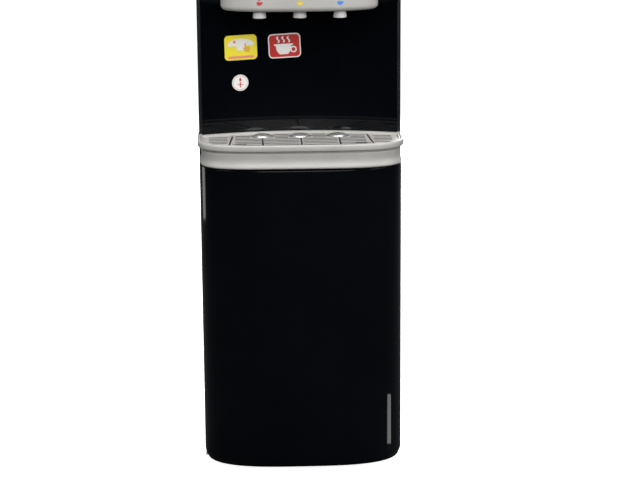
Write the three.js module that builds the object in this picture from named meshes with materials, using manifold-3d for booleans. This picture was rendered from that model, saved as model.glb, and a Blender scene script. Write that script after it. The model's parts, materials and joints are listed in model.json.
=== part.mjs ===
// A floor-standing water dispenser: a storage cupboard with a bowed door below, a drip tray on a
// silver shelf, a concave splash panel, three push-button taps and a head that takes a bottle.
// Millimetres, +Z up, the front of the machine faces -Y.
import * as THREE from 'three';
import { mergeVertices, toCreasedNormals } from 'three/addons/utils/BufferGeometryUtils.js';
import Module from 'manifold-3d';

const wasm = await Module();
wasm.setup();

// ---- Driving dimensions -------------------------------------------------------------------

const GAP = 0.3;                // clearance between neighbouring pieces
const SHEET = 1.2;              // folded steel sheet
const WALL = 3;                 // moulded plastic wall

// Cabinet
const HALF_WIDTH = 155;
const FRONT_Y = -170;           // most forward point of the door and the head
const BEND_Y = -72;             // where the bowed front has turned square to the sides
const MOULDING_REAR_Y = -69.6;  // rear edge of the head and the front mouldings
const SIDE_FRONT_Y = -69;       // front fold of the steel side panels
const REAR_Y = 150;
const BOW = 3.1;                // exponent of the superellipse the front follows
const FOLD = 9;                 // width of the folded edges of the side panels
const FRONT_SEGMENTS = 20;      // straight pieces that make up a bowed front
const FOOT_HEIGHT = 11.2;
const FOOT_R = 14;
const FOOT_X = 118;
const FOOT_Y = { front: -40, rear: 125 };
const BASE_Z = 11.5;
const BASE_DEPTH = 18;          // upturned edge of the base plate
const SIDE_TOP_Z = 947;

// Door and the cupboard behind it
const DOOR_Z = [10, 478];
const DOOR_REAR_Y = -81;
const DOOR_PANEL_Y = [-127, -124];
const HINGE_X = -150;
const HINGE_Y = -88;
const HINGE_PIN_R = 2.8;
const HINGE_PLATE = 2.5;
const HINGE_ARM = [[-4, -6], [10, -6], [25, 16], [25, 30], [5, 30], [5, 16], [-4, 12]];  // from the pin
const CATCH_X = [112, 134];
const CATCH_HEIGHT = 17.7;
const LINER_HALF_WIDTH = 138;
const LINER_Y = [-121, 25];
const LINER_Z = [17, 466];
const LINER_WALL = 2.5;
const LINER_FLANGE = 4;

// Splash panel: a circular arc in plan, hollow towards the front
const PANEL_HALF_WIDTH = 149.3;
const PANEL_MID_Y = -47;
const PANEL_SAGITTA = 28;
const PANEL_CHORD = 300;
const PANEL_THICKNESS = 2.5;
const PANEL_Z = [484, 799.5];
const PANEL_RADIUS = ((PANEL_CHORD / 2) ** 2 + PANEL_SAGITTA ** 2) / (2 * PANEL_SAGITTA);

// Tray shelf, drip tray and grille
const TRAY_HALF_WIDTH = 157;
const TRAY_FRONT_Y = -174;
const TRAY_BEND_Y = -82;
const TRAY_BOW = 4;
const TRAY_Z = [480.5, 517.4];
const TRAY_LEDGE_Z = 509;       // the drip tray's rim hangs on this ledge
const BASIN_FLOOR_Z = 484.2;
const GRILLE_Z = [511.6, 514.4];
const DOME_PITCH = 58;
const DOME_Y = -77;
const DOME_R = 15.75;
const DOME_RISE = 4;
const SLOT_WIDTH = 5;
const SLOT_PITCH = 12;

// Taps
const TAP_PITCH = 60;
const TAP_Y = -118;
const TAP_NAMES = ['hot', 'ambient', 'cold'];
const NOZZLE_Z = 700.8;
const TAP_HOUSING_HALF_WIDTH = 118;
const TAP_HOUSING_FRONT_Y = -150;
const TAP_HOUSING_BEND_Y = -100;
const TAP_HOUSING_BOW = 2.5;
const TAP_HOUSING_Z = [711.2, 799.7];
const BUTTON_Z = 765;
const BUTTON_R = 17;
const BUTTON_PROUD = 5.5;
const BUTTON_DEPTH = 11;
const YOKE_Y = [-137, -134];    // cross-piece that joins a button's two ramps
const TINE_X = [7.5, 11];       // inner and outer face of a ramp, from the tap's middle
const RAMP_Y = [-128, -112];
const LOCK_SLOT_X = [-70, -52];
const LOCK_SLOT_Z = [787.4, 792.6];
const LOCK_KNOB_WIDTH = 9;
const VALVE_Z = [728, 758];
const VALVE_R = 11;
const SPIGOT_Z = 741;
const SPIGOT_END_Y = -38;
const RAMP_SLOPE = 0.6;         // stem lift per millimetre of button travel
const RAMP_Z = 768;             // height of the ramp's mating plane at the stem
const SPRING_Z = [774.8, 791.2];
const BRIDGE_Z = [792, 794];

// Head and bottle seat
const HEAD_Z = [800, 949.5];
const COVER_Z = [950, 990];
const SEAT_Y = 25;              // axis of the bottle, the cold tank and the hot tank
const WELL_R = 106;
const SEAT_TOP_Z = 1000;
const NECK_Z = 870;             // foot of the bottle seat's neck
const NECK_R = [27, 30];
const WINDOW_HALF_WIDTH = 45;
const WINDOW_Z = [868, 882];

// Tanks
const COLD_TANK_Z = [762, 885];
const COLD_TANK_R = 54;
const JACKET_R = 68;
const HOT_TANK_Z = [540, 680];
const HOT_TANK_R = 45;
const HOSE_R = 5;
const HOSE_BORE_R = 3.2;

// Cooling circuit
const COMPRESSOR_X = 40;
const COMPRESSOR_Y = 88;
const COMPRESSOR_PLATE_Z = [19, 22];
const LEAD_Z = 55;              // the condenser's lead leaves the compressor at this height

// Rear services
const CONTROL_Z = 305;          // row of switches and sockets across the rear cover
const REAR_COVER_Z = [262, 946];
const CONDENSER_Y = 168.5;
const CONDENSER_Z = [360, 880];
const CONDENSER_HALF_WIDTH = 105;
const CONDENSER_RUNS = 8;
const WIRE_Y = [172, 174];
const WIRE_BARS = 13;
const WIRE_WIDTH = 2.4;
const VENT_Z = [906, 933];
const INLET_X = -125;
const INLET_WIDTH = 27;
const INLET_HEIGHT = 19;
const SWITCH_X = -50;
const SWITCH_WIDTH = 45;
const SWITCH_HEIGHT = 21.4;
const ROCKER_PITCH = 20;
const ROCKER_TILT = 9;          // degrees each way from upright
const KNOB_X = 20;
const KNOB_R = 11;
const DRAIN_X = 95;
const DRAIN_Z = 290;

// ---- Geometry helpers ---------------------------------------------------------------------

const at = (x, y) => new THREE.Vector2(x, y);

function toSolid(geometry) {
  const bare = geometry.clone();
  bare.deleteAttribute('normal');
  bare.deleteAttribute('uv');
  const merged = mergeVertices(bare, 1e-4);
  const mesh = new wasm.Mesh({
    numProp: 3,
    vertProperties: new Float32Array(merged.attributes.position.array),
    triVerts: new Uint32Array(merged.index.array),
  });
  return new wasm.Manifold(mesh);
}

function toGeometry(solid) {
  const mesh = solid.getMesh();
  const geometry = new THREE.BufferGeometry();
  geometry.setAttribute('position', new THREE.Float32BufferAttribute(mesh.vertProperties, 3));
  geometry.setIndex(new THREE.Uint32BufferAttribute(mesh.triVerts, 1));
  return toCreasedNormals(geometry, THREE.MathUtils.degToRad(32));
}

function box([x0, x1], [y0, y1], [z0, z1]) {
  const geometry = new THREE.BoxGeometry(x1 - x0, y1 - y0, z1 - z0);
  geometry.translate((x0 + x1) / 2, (y0 + y1) / 2, (z0 + z1) / 2);
  return toSolid(geometry);
}

function rodZ(x, y, [z0, z1], radius, segments = 20) {
  const geometry = new THREE.CylinderGeometry(radius, radius, z1 - z0, segments);
  geometry.rotateX(Math.PI / 2);
  geometry.translate(x, y, (z0 + z1) / 2);
  return toSolid(geometry);
}

function rodY(x, z, [y0, y1], radius, segments = 20) {
  const geometry = new THREE.CylinderGeometry(radius, radius, y1 - y0, segments);
  geometry.translate(x, (y0 + y1) / 2, z);
  return toSolid(geometry);
}

// Turns a profile of [radius, height] pairs about a vertical axis.
function turned(profile, x, y, segments) {
  const points = profile.map(([radius, height]) => at(radius, height));
  const geometry = new THREE.LatheGeometry(points, segments);
  geometry.rotateX(Math.PI / 2);
  geometry.translate(x, y, 0);
  return toSolid(geometry);
}

function prism(points, [z0, z1]) {
  const geometry = new THREE.ExtrudeGeometry(new THREE.Shape(points), {
    depth: z1 - z0,
    bevelEnabled: false,
  });
  geometry.translate(0, 0, z0);
  return toSolid(geometry);
}

// Extrudes an outline drawn in X and Z along Y.
function slab(points, [y0, y1], holes = []) {
  const geometry = new THREE.ExtrudeGeometry(new THREE.Shape(points), {
    depth: y1 - y0,
    bevelEnabled: false,
  });
  geometry.rotateX(Math.PI / 2);
  geometry.translate(0, y1, 0);
  return without(toSolid(geometry), holes.map((hole) => slab(hole, [y0 - 1, y1 + 1])));
}

// Extrudes an outline drawn in Y and Z along X.
function sideSlab(points, [x0, x1]) {
  const geometry = new THREE.ExtrudeGeometry(new THREE.Shape(points), {
    depth: x1 - x0,
    bevelEnabled: false,
  });
  geometry.applyMatrix4(new THREE.Matrix4().set(0, 0, 1, x0, 1, 0, 0, 0, 0, 1, 0, 0, 0, 0, 0, 1));
  return toSolid(geometry);
}

function rectangle(cx, cy, width, height) {
  const x = width / 2;
  const y = height / 2;
  return [at(cx - x, cy - y), at(cx + x, cy - y), at(cx + x, cy + y), at(cx - x, cy + y)];
}

// A stack of outlines with the same number of points, closed top and bottom.
function loft(levels) {
  const count = levels[0].points.length;
  const positions = [];
  const indices = [];
  levels.forEach(({ points, z }) => points.forEach((point) => positions.push(point.x, point.y, z)));
  for (let level = 0; level + 1 < levels.length; level += 1) {
    for (let i = 0; i < count; i += 1) {
      const here = level * count + i;
      const next = level * count + ((i + 1) % count);
      indices.push(here, next, next + count, here, next + count, here + count);
    }
  }
  const top = (levels.length - 1) * count;
  THREE.ShapeUtils.triangulateShape(levels[0].points, []).forEach(([a, b, c]) => {
    indices.push(c, b, a);
  });
  THREE.ShapeUtils.triangulateShape(levels.at(-1).points, []).forEach(([a, b, c]) => {
    indices.push(top + a, top + b, top + c);
  });
  const geometry = new THREE.BufferGeometry();
  geometry.setAttribute('position', new THREE.Float32BufferAttribute(positions, 3));
  geometry.setIndex(indices);
  return toSolid(geometry);
}

// A path whose rings fall exactly on its points, so straight runs cost nothing.
class BentPath extends THREE.Curve {
  constructor(points) {
    super();
    this.points = points;
  }

  index(t) {
    return Math.round(t * (this.points.length - 1));
  }

  getPoint(t) {
    return this.points[this.index(t)].clone();
  }

  getPointAt(t) {
    return this.getPoint(t);
  }

  getTangentAt(t) {
    const i = this.index(t);
    const before = this.points[Math.max(i - 1, 0)];
    const after = this.points[Math.min(i + 1, this.points.length - 1)];
    return after.clone().sub(before).normalize();
  }
}

// Rounds the corners of a polyline.
function roundedPath(corners, radius, steps) {
  const points = corners.map(([x, y, z]) => new THREE.Vector3(x, y, z));
  const path = [points[0]];
  for (let i = 1; i + 1 < points.length; i += 1) {
    const before = points[i - 1].clone().sub(points[i]).setLength(radius).add(points[i]);
    const after = points[i + 1].clone().sub(points[i]).setLength(radius).add(points[i]);
    const bend = new THREE.QuadraticBezierCurve3(before, points[i], after);
    path.push(...bend.getPoints(steps));
  }
  path.push(points.at(-1));
  return path;
}

function sweep(points, radius, boreRadius = 0, sides = 6) {
  const ring = (r) => Array.from({ length: sides }, (_, i) => {
    const angle = (2 * Math.PI * i) / sides;
    return at(r * Math.cos(angle), r * Math.sin(angle));
  });
  const shape = new THREE.Shape(ring(radius));
  if (boreRadius > 0) {
    shape.holes.push(new THREE.Path(ring(boreRadius)));
  }
  return toSolid(new THREE.ExtrudeGeometry(shape, {
    steps: points.length - 1,
    extrudePath: new BentPath(points),
    bevelEnabled: false,
  }));
}

function joined(solids) {
  return solids.reduce((sum, solid) => sum.add(solid));
}

function without(solid, cutters) {
  return cutters.reduce((rest, cutter) => rest.subtract(cutter), solid);
}

function mirroredX(points) {
  return points.map((point) => at(-point.x, point.y)).reverse();
}

// ---- Plan outlines ------------------------------------------------------------------------

// The bowed front of a moulding, from the left side round to the right: a half superellipse.
function bowedFront(halfWidth, frontY, bendY, exponent, segments) {
  return Array.from({ length: segments + 1 }, (_, i) => {
    const angle = (Math.PI * i) / segments;
    const across = Math.abs(Math.cos(angle)) ** (2 / exponent) * Math.sign(Math.cos(angle));
    const forward = Math.max(Math.sin(angle), 0) ** (2 / exponent);
    return at(-halfWidth * across, bendY + (frontY - bendY) * forward);
  });
}

function cabinetFront(inset, rearY) {
  const halfWidth = HALF_WIDTH - inset;
  return [
    ...bowedFront(halfWidth, FRONT_Y + inset, BEND_Y, BOW, FRONT_SEGMENTS),
    at(halfWidth, rearY),
    at(-halfWidth, rearY),
  ];
}

// The whole cabinet in plan, with small corners at the rear.
function cabinetOutline(inset) {
  const corner = 4;
  const halfWidth = HALF_WIDTH - inset;
  const rear = REAR_Y - inset;
  return [
    ...bowedFront(halfWidth, FRONT_Y + inset, BEND_Y, BOW, FRONT_SEGMENTS),
    at(halfWidth, rear - corner),
    at(halfWidth - corner, rear),
    at(-halfWidth + corner, rear),
    at(-halfWidth, rear - corner),
  ];
}

// Front face of the splash panel at a distance x from the middle.
function panelFrontY(x) {
  return PANEL_MID_Y - PANEL_RADIUS + Math.sqrt(PANEL_RADIUS ** 2 - x ** 2);
}

// Points along the splash panel from +halfWidth to -halfWidth, moved forward by `forward`.
function alongPanel(halfWidth, forward, segments = 8) {
  return Array.from({ length: segments + 1 }, (_, i) => {
    const x = halfWidth * (1 - (2 * i) / segments);
    return at(x, panelFrontY(x) - forward);
  });
}

function trayFront(inset) {
  return bowedFront(TRAY_HALF_WIDTH - inset, TRAY_FRONT_Y + inset, TRAY_BEND_Y, TRAY_BOW,
    FRONT_SEGMENTS);
}

// The shelf reaches back past both edges of the splash panel.
function shelfOutline(inset) {
  const halfWidth = TRAY_HALF_WIDTH - inset;
  const ear = PANEL_HALF_WIDTH + 2 * GAP;
  return [
    ...trayFront(inset),
    at(halfWidth, MOULDING_REAR_Y),
    at(ear, MOULDING_REAR_Y),
    ...alongPanel(ear, 2 * GAP),
    at(-ear, MOULDING_REAR_Y),
    at(-halfWidth, MOULDING_REAR_Y),
  ];
}

function trayOutline(inset, rearInset) {
  return [...trayFront(inset), ...alongPanel(TRAY_HALF_WIDTH - inset, rearInset)];
}

function tapHousingOutline(inset, forward) {
  const halfWidth = TAP_HOUSING_HALF_WIDTH - inset;
  const front = bowedFront(halfWidth, TAP_HOUSING_FRONT_Y + inset, TAP_HOUSING_BEND_Y,
    TAP_HOUSING_BOW, 16);
  return [...front, ...alongPanel(halfWidth, forward, 6)];
}

// Front face of the tap housing at a distance x from the middle.
function tapHousingFrontY(x) {
  const share = 1 - (Math.abs(x) / TAP_HOUSING_HALF_WIDTH) ** TAP_HOUSING_BOW;
  const depth = TAP_HOUSING_FRONT_Y - TAP_HOUSING_BEND_Y;
  return TAP_HOUSING_BEND_Y + depth * share ** (1 / TAP_HOUSING_BOW);
}

// ---- Parts --------------------------------------------------------------------------------

const dispenser = new THREE.Group();
dispenser.name = 'water_dispenser';

function addPart(name, solid, color, roughness, metalness = 0) {
  const material = new THREE.MeshStandardMaterial({ color, roughness, metalness });
  const mesh = new THREE.Mesh(toGeometry(solid), material);
  mesh.name = name;
  dispenser.add(mesh);
}

const paintedBlack = ['#111214', 0.45];
const glossBlack = ['#0b0c0f', 0.08];
const silver = ['#b0b0a8', 0.35, 0.3];
const darkPlastic = ['#1d1e20', 0.55];
const whitePlastic = ['#e8e8e4', 0.4];
const paleLiner = ['#c9cbcc', 0.6];
const steel = ['#b9bcc0', 0.3, 0.9];
const zinc = ['#8f959b', 0.4, 0.8];
const copper = ['#b06a3c', 0.35, 0.9];
const rubber = ['#161616', 0.85];

function addBase() {
  const inner = HALF_WIDTH - SHEET - GAP;
  const rear = REAR_Y - SHEET - GAP;
  const front = SIDE_FRONT_Y + SHEET + GAP;
  const tray = box([-inner, inner], [front, rear], [BASE_Z, BASE_Z + BASE_DEPTH]);
  const hollow = box([SHEET - inner, inner - SHEET], [front - 1, rear - SHEET],
    [BASE_Z + 2, BASE_Z + BASE_DEPTH + 1]);
  addPart('base_plate', tray.subtract(hollow), ...zinc);
}

function addFeet() {
  const profile = [[0, 0], [FOOT_R, 0], [FOOT_R + 2, 2], [FOOT_R - 1, FOOT_HEIGHT], [0, FOOT_HEIGHT]];
  Object.entries(FOOT_Y).forEach(([end, y]) => {
    addPart(`foot_${end}_left`, turned(profile, -FOOT_X, y, 16), ...rubber);
    addPart(`foot_${end}_right`, turned(profile, FOOT_X, y, 16), ...rubber);
  });
}

function addSidePanels() {
  const outer = HALF_WIDTH;
  const inner = HALF_WIDTH - SHEET;
  const tip = HALF_WIDTH - FOLD;
  const section = [
    at(outer, SIDE_FRONT_Y), at(outer, REAR_Y), at(tip, REAR_Y), at(tip, REAR_Y - SHEET),
    at(inner, REAR_Y - SHEET), at(inner, SIDE_FRONT_Y + SHEET), at(tip, SIDE_FRONT_Y + SHEET),
    at(tip, SIDE_FRONT_Y),
  ];
  const height = [BASE_Z, SIDE_TOP_Z];
  addPart('side_panel_right', prism(section, height), ...paintedBlack);
  addPart('side_panel_left', prism(mirroredX(section), height), ...paintedBlack);
}

function addLiner() {
  const [y0, y1] = LINER_Y;
  const [z0, z1] = LINER_Z;
  const w = LINER_HALF_WIDTH;
  const flange = w + LINER_FLANGE;
  const body = joined([
    box([-w, w], [y0, y1], [z0, z1]),
    box([-flange, flange], [y0, y0 + LINER_WALL], [z0 - 2, z1 + LINER_FLANGE]),
  ]);
  const inside = box([LINER_WALL - w, w - LINER_WALL], [y0 - 1, y1 - LINER_WALL],
    [z0 + LINER_WALL, z1 - LINER_WALL]);
  addPart('cabinet_liner', body.subtract(inside), ...paleLiner);
}

function addDoor() {
  const [z0, z1] = DOOR_Z;
  const level = (inset, z) => ({ points: cabinetFront(inset, MOULDING_REAR_Y), z });
  const skin = loft([level(7, z0), level(2, z0 + 2), level(0, z0 + 7), level(0, z1 - 1.5),
    level(1.5, z1)]);
  const hollow = loft([level(WALL, z0 + WALL), level(WALL, z1 - WALL)]);
  const behind = box([-HALF_WIDTH - 1, HALF_WIDTH + 1], [DOOR_REAR_Y, 0], [z0 - 1, z1 + 1]);
  const pinHole = rodZ(HINGE_X, HINGE_Y, [z0 - 5, z1 + 5], HINGE_PIN_R + 0.4, 12);
  addPart('door_skin', without(skin, [hollow, behind, pinHole]), ...glossBlack);

  const inside = loft([level(WALL + GAP, z0 + WALL + GAP), level(WALL + GAP, z1 - WALL - GAP)]);
  const slice = box([-HALF_WIDTH, HALF_WIDTH], DOOR_PANEL_Y, [z0, z1]);
  addPart('door_inner_panel', inside.intersect(slice), ...darkPlastic);

  const catchTop = LINER_Z[1] - LINER_WALL - GAP;
  const catchZ = [catchTop - CATCH_HEIGHT, catchTop];
  const strikeY = [DOOR_PANEL_Y[1] + GAP, DOOR_PANEL_Y[1] + 1.8];
  addPart('door_strike', box(CATCH_X, strikeY, catchZ), ...steel);
  const magnetY = [LINER_Y[0] - 0.2, LINER_Y[0] + 16];
  addPart('door_magnet', box(CATCH_X, magnetY, catchZ), ...darkPlastic);
}

function addDoorHinges() {
  const arm = HINGE_ARM.map(([dx, dy]) => at(HINGE_X + dx, HINGE_Y + dy));
  const pin = (z) => rodZ(HINGE_X, HINGE_Y, z, HINGE_PIN_R, 12);
  const plateZ = DOOR_Z[0] - 4;
  const lower = joined([
    prism(arm, [plateZ, plateZ + HINGE_PLATE]),
    pin([plateZ + 2, DOOR_Z[0] + 8]),
    box([HINGE_X + 5, HINGE_X + 25], [HINGE_Y + 22, HINGE_Y + 30], [plateZ + 2, BASE_Z - GAP]),
  ]);
  addPart('door_hinge_lower', lower, ...zinc);
  const upper = joined([
    prism(arm, [DOOR_Z[1] + 0.8, TRAY_Z[0] - 0.4]),
    pin([DOOR_Z[1] - 8, DOOR_Z[1] + 1]),
  ]);
  addPart('door_hinge_upper', upper, ...zinc);
}

function addSplashPanel() {
  const front = alongPanel(PANEL_HALF_WIDTH, 0, 16);
  const rear = alongPanel(PANEL_HALF_WIDTH, -PANEL_THICKNESS, 16).reverse();
  const sheet = prism([...front, ...rear], PANEL_Z);
  const holes = TAP_NAMES.map((_, i) => rodY(tapX(i), SPIGOT_Z, [-60, -30], 7, 12));
  addPart('splash_panel', without(sheet, holes), ...glossBlack);
}

function addTrayHousing() {
  const [z0, z1] = TRAY_Z;
  const level = (inset, z) => ({ points: shelfOutline(inset), z });
  const outside = loft([
    level(4.4, z0), level(3.6, z0 + 1.6), level(4.6, z0 + 12), level(6.8, z0 + 26.7),
    level(0.4, z0 + 27.9), level(0, z1 - 1.8), level(1.8, z1),
  ]);
  const rearWall = 2 * GAP + WALL;
  const lower = loft([
    { points: trayOutline(9.5, rearWall), z: z0 + WALL },
    { points: trayOutline(9.5, rearWall), z: z1 + 1 },
  ]);
  const upper = loft([
    { points: trayOutline(5, rearWall), z: TRAY_LEDGE_Z },
    { points: trayOutline(5, rearWall), z: z1 + 1 },
  ]);
  addPart('tray_housing', without(outside, [lower, upper]), ...silver);
}

function addDripTray() {
  const rearRim = 2 * GAP + WALL + 0.4;
  const rimZ = [TRAY_LEDGE_Z + GAP, TRAY_Z[1] - 0.6];
  const straight = (inset, rearInset, z) => loft([
    { points: trayOutline(inset, rearInset), z: z[0] },
    { points: trayOutline(inset, rearInset), z: z[1] },
  ]);
  const solid = joined([
    straight(5.4, rearRim, rimZ),
    straight(10.2, rearRim, [BASIN_FLOOR_Z, rimZ[0] + 1]),
  ]);
  const basin = straight(12.4, rearRim + 4.5, [BASIN_FLOOR_Z + 2, rimZ[1] + 1]);
  const seat = straight(8.4, rearRim + 2.5, [GRILLE_Z[0] - GAP, rimZ[1] + 1]);
  addPart('drip_tray', without(solid, [basin, seat]), ...silver);
}

// Slots of the grille: full rows in front, broken rows between the domes, short rows at the ends.
function grilleSlots() {
  const slots = [];
  const rows = (firstY, lastY, spans) => {
    for (let y = firstY; y <= lastY; y += SLOT_PITCH) {
      const across = [y - SLOT_WIDTH / 2, y + SLOT_WIDTH / 2];
      spans.forEach((span) => slots.push(box(span, across, [GRILLE_Z[0] - 1, GRILLE_Z[1] + 1])));
    }
  };
  rows(-150, -102, [[-98, -33], [-31, 31], [33, 98]]);
  rows(-90, -66, [[-39, -19], [19, 39]]);
  rows(-90, -78, [[-98, -77], [77, 98]]);
  rows(-134, -86, [[-138, -112], [112, 138]]);
  return slots;
}

function addGrille() {
  const outline = trayOutline(8.9, 2 * GAP + WALL + 3.4);
  const plate = without(prism(outline, GRILLE_Z), grilleSlots());
  const z = GRILLE_Z[1];
  const dome = [[0, z - 1], [DOME_R, z - 1], [DOME_R, z], [DOME_R - 2, z + DOME_RISE * 0.55],
    [DOME_R - 7, z + DOME_RISE * 0.9], [0, z + DOME_RISE]];
  const domes = [-1, 0, 1].map((i) => turned(dome, i * DOME_PITCH, DOME_Y, 16));
  addPart('tray_grille', joined([plate, ...domes]), ...silver);
}

function tapX(index) {
  return (index - 1) * TAP_PITCH;
}

function addTapHousing() {
  const [z0, z1] = TAP_HOUSING_Z;
  const level = (inset, z) => ({ points: tapHousingOutline(inset, 2 * GAP), z });
  const outside = loft([level(6, z0), level(1.8, z0 + 1.8), level(0, z0 + 6), level(0, z1)]);
  const hollow = loft([
    { points: tapHousingOutline(WALL, -5), z: z0 + WALL },
    { points: tapHousingOutline(WALL, -5), z: z1 - WALL },
  ]);
  const nozzleHoles = TAP_NAMES.map((_, i) => rodZ(tapX(i), TAP_Y, [z0 - 1, z0 + 5], 9.5, 16));
  const buttonHoles = TAP_NAMES.map((_, i) => {
    return rodY(tapX(i), BUTTON_Z, [-160, -135], BUTTON_R + 0.6, 24);
  });
  const lockSlot = box(LOCK_SLOT_X, [-160, -135], LOCK_SLOT_Z);
  const housing = without(outside, [hollow, ...nozzleHoles, ...buttonHoles, lockSlot]);
  addPart('tap_housing', housing, ...silver);
}

function addLockSlider() {
  const left = LOCK_SLOT_X[0] + 0.5;
  const right = left + LOCK_KNOB_WIDTH;
  const [z0, z1] = LOCK_SLOT_Z;
  const slider = joined([
    box([left, right], [-151, -138], [z0 + 0.4, z1 - 0.4]),
    box([left - 2.5, right + 2.5], [-138.6, -136.6], [z0 - 2.4, z1 + 2.4]),
  ]);
  addPart('hot_lock_slider', slider, '#b3261e', 0.35);
}

function nozzle(x) {
  const profile = [[4, NOZZLE_Z], [10.2, NOZZLE_Z], [10, NOZZLE_Z + 3], [8.6, NOZZLE_Z + 13],
    [8.6, VALVE_Z[0] - GAP], [4, VALVE_Z[0] - GAP], [4, NOZZLE_Z]];
  return turned(profile, x, TAP_Y, 16);
}

function valveBody(x) {
  const [z0, z1] = VALVE_Z;
  const outside = joined([
    rodZ(x, TAP_Y, [z0, z1], VALVE_R, 14),
    rodY(x, SPIGOT_Z, [TAP_Y, SPIGOT_END_Y], 6, 8),
  ]);
  return without(outside, [
    rodZ(x, TAP_Y, [z0 - 1, z0 + 2], 4, 8),
    rodZ(x, TAP_Y, [z0 + 1, z1 - 3], 8, 14),
    rodZ(x, TAP_Y, [z1 - 4, z1 + 1], 3.2, 8),
    rodY(x, SPIGOT_Z, [TAP_Y, SPIGOT_END_Y + 1], 4, 8),
  ]);
}

// The stem's cross-bar rides on the button's two ramps, so pressing the button lifts the stopper.
function valveStem(x) {
  const reach = 2.5;
  const barTop = RAMP_Z + 6;
  const bar = sideSlab([
    at(TAP_Y - reach, RAMP_Z + RAMP_SLOPE * reach), at(TAP_Y + reach, RAMP_Z - RAMP_SLOPE * reach),
    at(TAP_Y + reach, barTop), at(TAP_Y - reach, barTop),
  ], [x - TINE_X[1] - 0.5, x + TINE_X[1] + 0.5]);
  return joined([
    bar,
    rodZ(x, TAP_Y, [VALVE_Z[0] + 2, barTop - 1], 2.5, 8),
    rodZ(x, TAP_Y, [VALVE_Z[0] + 1 + GAP, VALVE_Z[0] + 5], 6, 12),
  ]);
}

function button(x) {
  const front = tapHousingFrontY(x) - BUTTON_PROUD;
  const rampZ = (y) => RAMP_Z - 0.4 - RAMP_SLOPE * (y - TAP_Y);
  const bottom = VALVE_Z[1] + 1.5;
  const [tineIn, tineOut] = TINE_X;
  const [rampFront, rampRear] = RAMP_Y;
  const tineSide = [
    at(YOKE_Y[1] - 1, bottom), at(rampRear, bottom), at(rampRear, rampZ(rampRear)),
    at(rampFront, rampZ(rampFront)), at(YOKE_Y[1] - 1, rampZ(rampFront)),
  ];
  return joined([
    rodY(x, BUTTON_Z, [front, front + BUTTON_DEPTH], BUTTON_R, 24),
    rodY(x, BUTTON_Z, [front + BUTTON_DEPTH - 1, YOKE_Y[0] + 1], 5, 8),
    box([x - tineOut, x + tineOut], YOKE_Y, [bottom, rampZ(rampFront)]),
    sideSlab(tineSide, [x - tineOut, x - tineIn]),
    sideSlab(tineSide, [x + tineIn, x + tineOut]),
  ]);
}

function spring(x) {
  const wire = 0.8;
  const coilR = 5;
  const turns = 3;
  const perTurn = 7;
  const bottom = SPRING_Z[0] + wire;
  const rise = (SPRING_Z[1] - SPRING_Z[0] - 2 * wire) / (turns * perTurn);
  const points = Array.from({ length: turns * perTurn + 1 }, (_, i) => {
    const angle = (2 * Math.PI * i) / perTurn;
    const across = coilR * Math.cos(angle);
    const forward = coilR * Math.sin(angle);
    return new THREE.Vector3(x + across, TAP_Y + forward, bottom + rise * i);
  });
  return sweep(points, wire, 0, 4);
}

function addTaps() {
  const buttonColors = ['#c01f1c', '#e0b317', '#1f5fb8'];
  TAP_NAMES.forEach((name, i) => {
    const x = tapX(i);
    addPart(`${name}_nozzle`, nozzle(x), ...whitePlastic);
    addPart(`${name}_valve_body`, valveBody(x), ...whitePlastic);
    addPart(`${name}_valve_stem`, valveStem(x), ...whitePlastic);
    addPart(`${name}_button`, button(x), buttonColors[i], 0.3);
    addPart(`${name}_spring`, spring(x), ...steel);
  });
  const bridge = joined([
    box([-78, 78], [TAP_Y - 8, TAP_Y + 8], BRIDGE_Z),
    ...[-72, -30, 30, 72].map((x) => rodZ(x, TAP_Y, [BRIDGE_Z[1] - 1, BRIDGE_Z[1] + 2.4], 4, 8)),
    ...TAP_NAMES.map((_, i) => rodZ(tapX(i), TAP_Y, [BRIDGE_Z[0] - 7, BRIDGE_Z[0] + 1], 3, 8)),
  ]);
  addPart('spring_bridge', bridge, ...zinc);
}

function addHead() {
  const [z0, z1] = HEAD_Z;
  const level = (inset, z) => ({ points: cabinetFront(inset, MOULDING_REAR_Y), z });
  const outside = loft([level(6, z0), level(1.8, z0 + 1.8), level(0, z0 + 6), level(0, z1)]);
  const ceiling = box([-145, 145], [-74, PANEL_MID_Y + 4], [z0, z0 + WALL]);
  const hollow = loft([
    { points: cabinetFront(WALL, PANEL_MID_Y + 10), z: z0 + WALL },
    { points: cabinetFront(WALL, PANEL_MID_Y + 10), z: z1 + 1 },
  ]);
  const w = WINDOW_HALF_WIDTH;
  const window = box([-w, w], [FRONT_Y - 5, FRONT_Y + 10], WINDOW_Z);
  addPart('head_fascia', without(joined([outside, ceiling]), [hollow, window]), ...glossBlack);
  const lens = box([GAP - w, w - GAP], [FRONT_Y + 1, FRONT_Y + 6],
    [WINDOW_Z[0] + GAP, WINDOW_Z[1] - GAP]);
  addPart('indicator_window', lens, '#2a2d33', 0.1);
}

function addTopCover() {
  const [z0, z1] = COVER_Z;
  const level = (inset, z) => ({ points: cabinetOutline(inset), z });
  const outside = loft([level(0, z0), level(0, z1 - 12), level(3, z1 - 4), level(9, z1)]);
  const underside = loft([level(WALL, z0 - 1), level(WALL, z1 - 14), level(9, z1 - 4)]);
  const wellWall = rodZ(0, SEAT_Y, [z0 - 2, z1], WELL_R + WALL, 32);
  const well = rodZ(0, SEAT_Y, [z0 - 3, z1 + 1], WELL_R, 32);
  const cover = without(outside, [underside.subtract(wellWall), well]);
  addPart('top_cover', cover, ...glossBlack);
}

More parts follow.
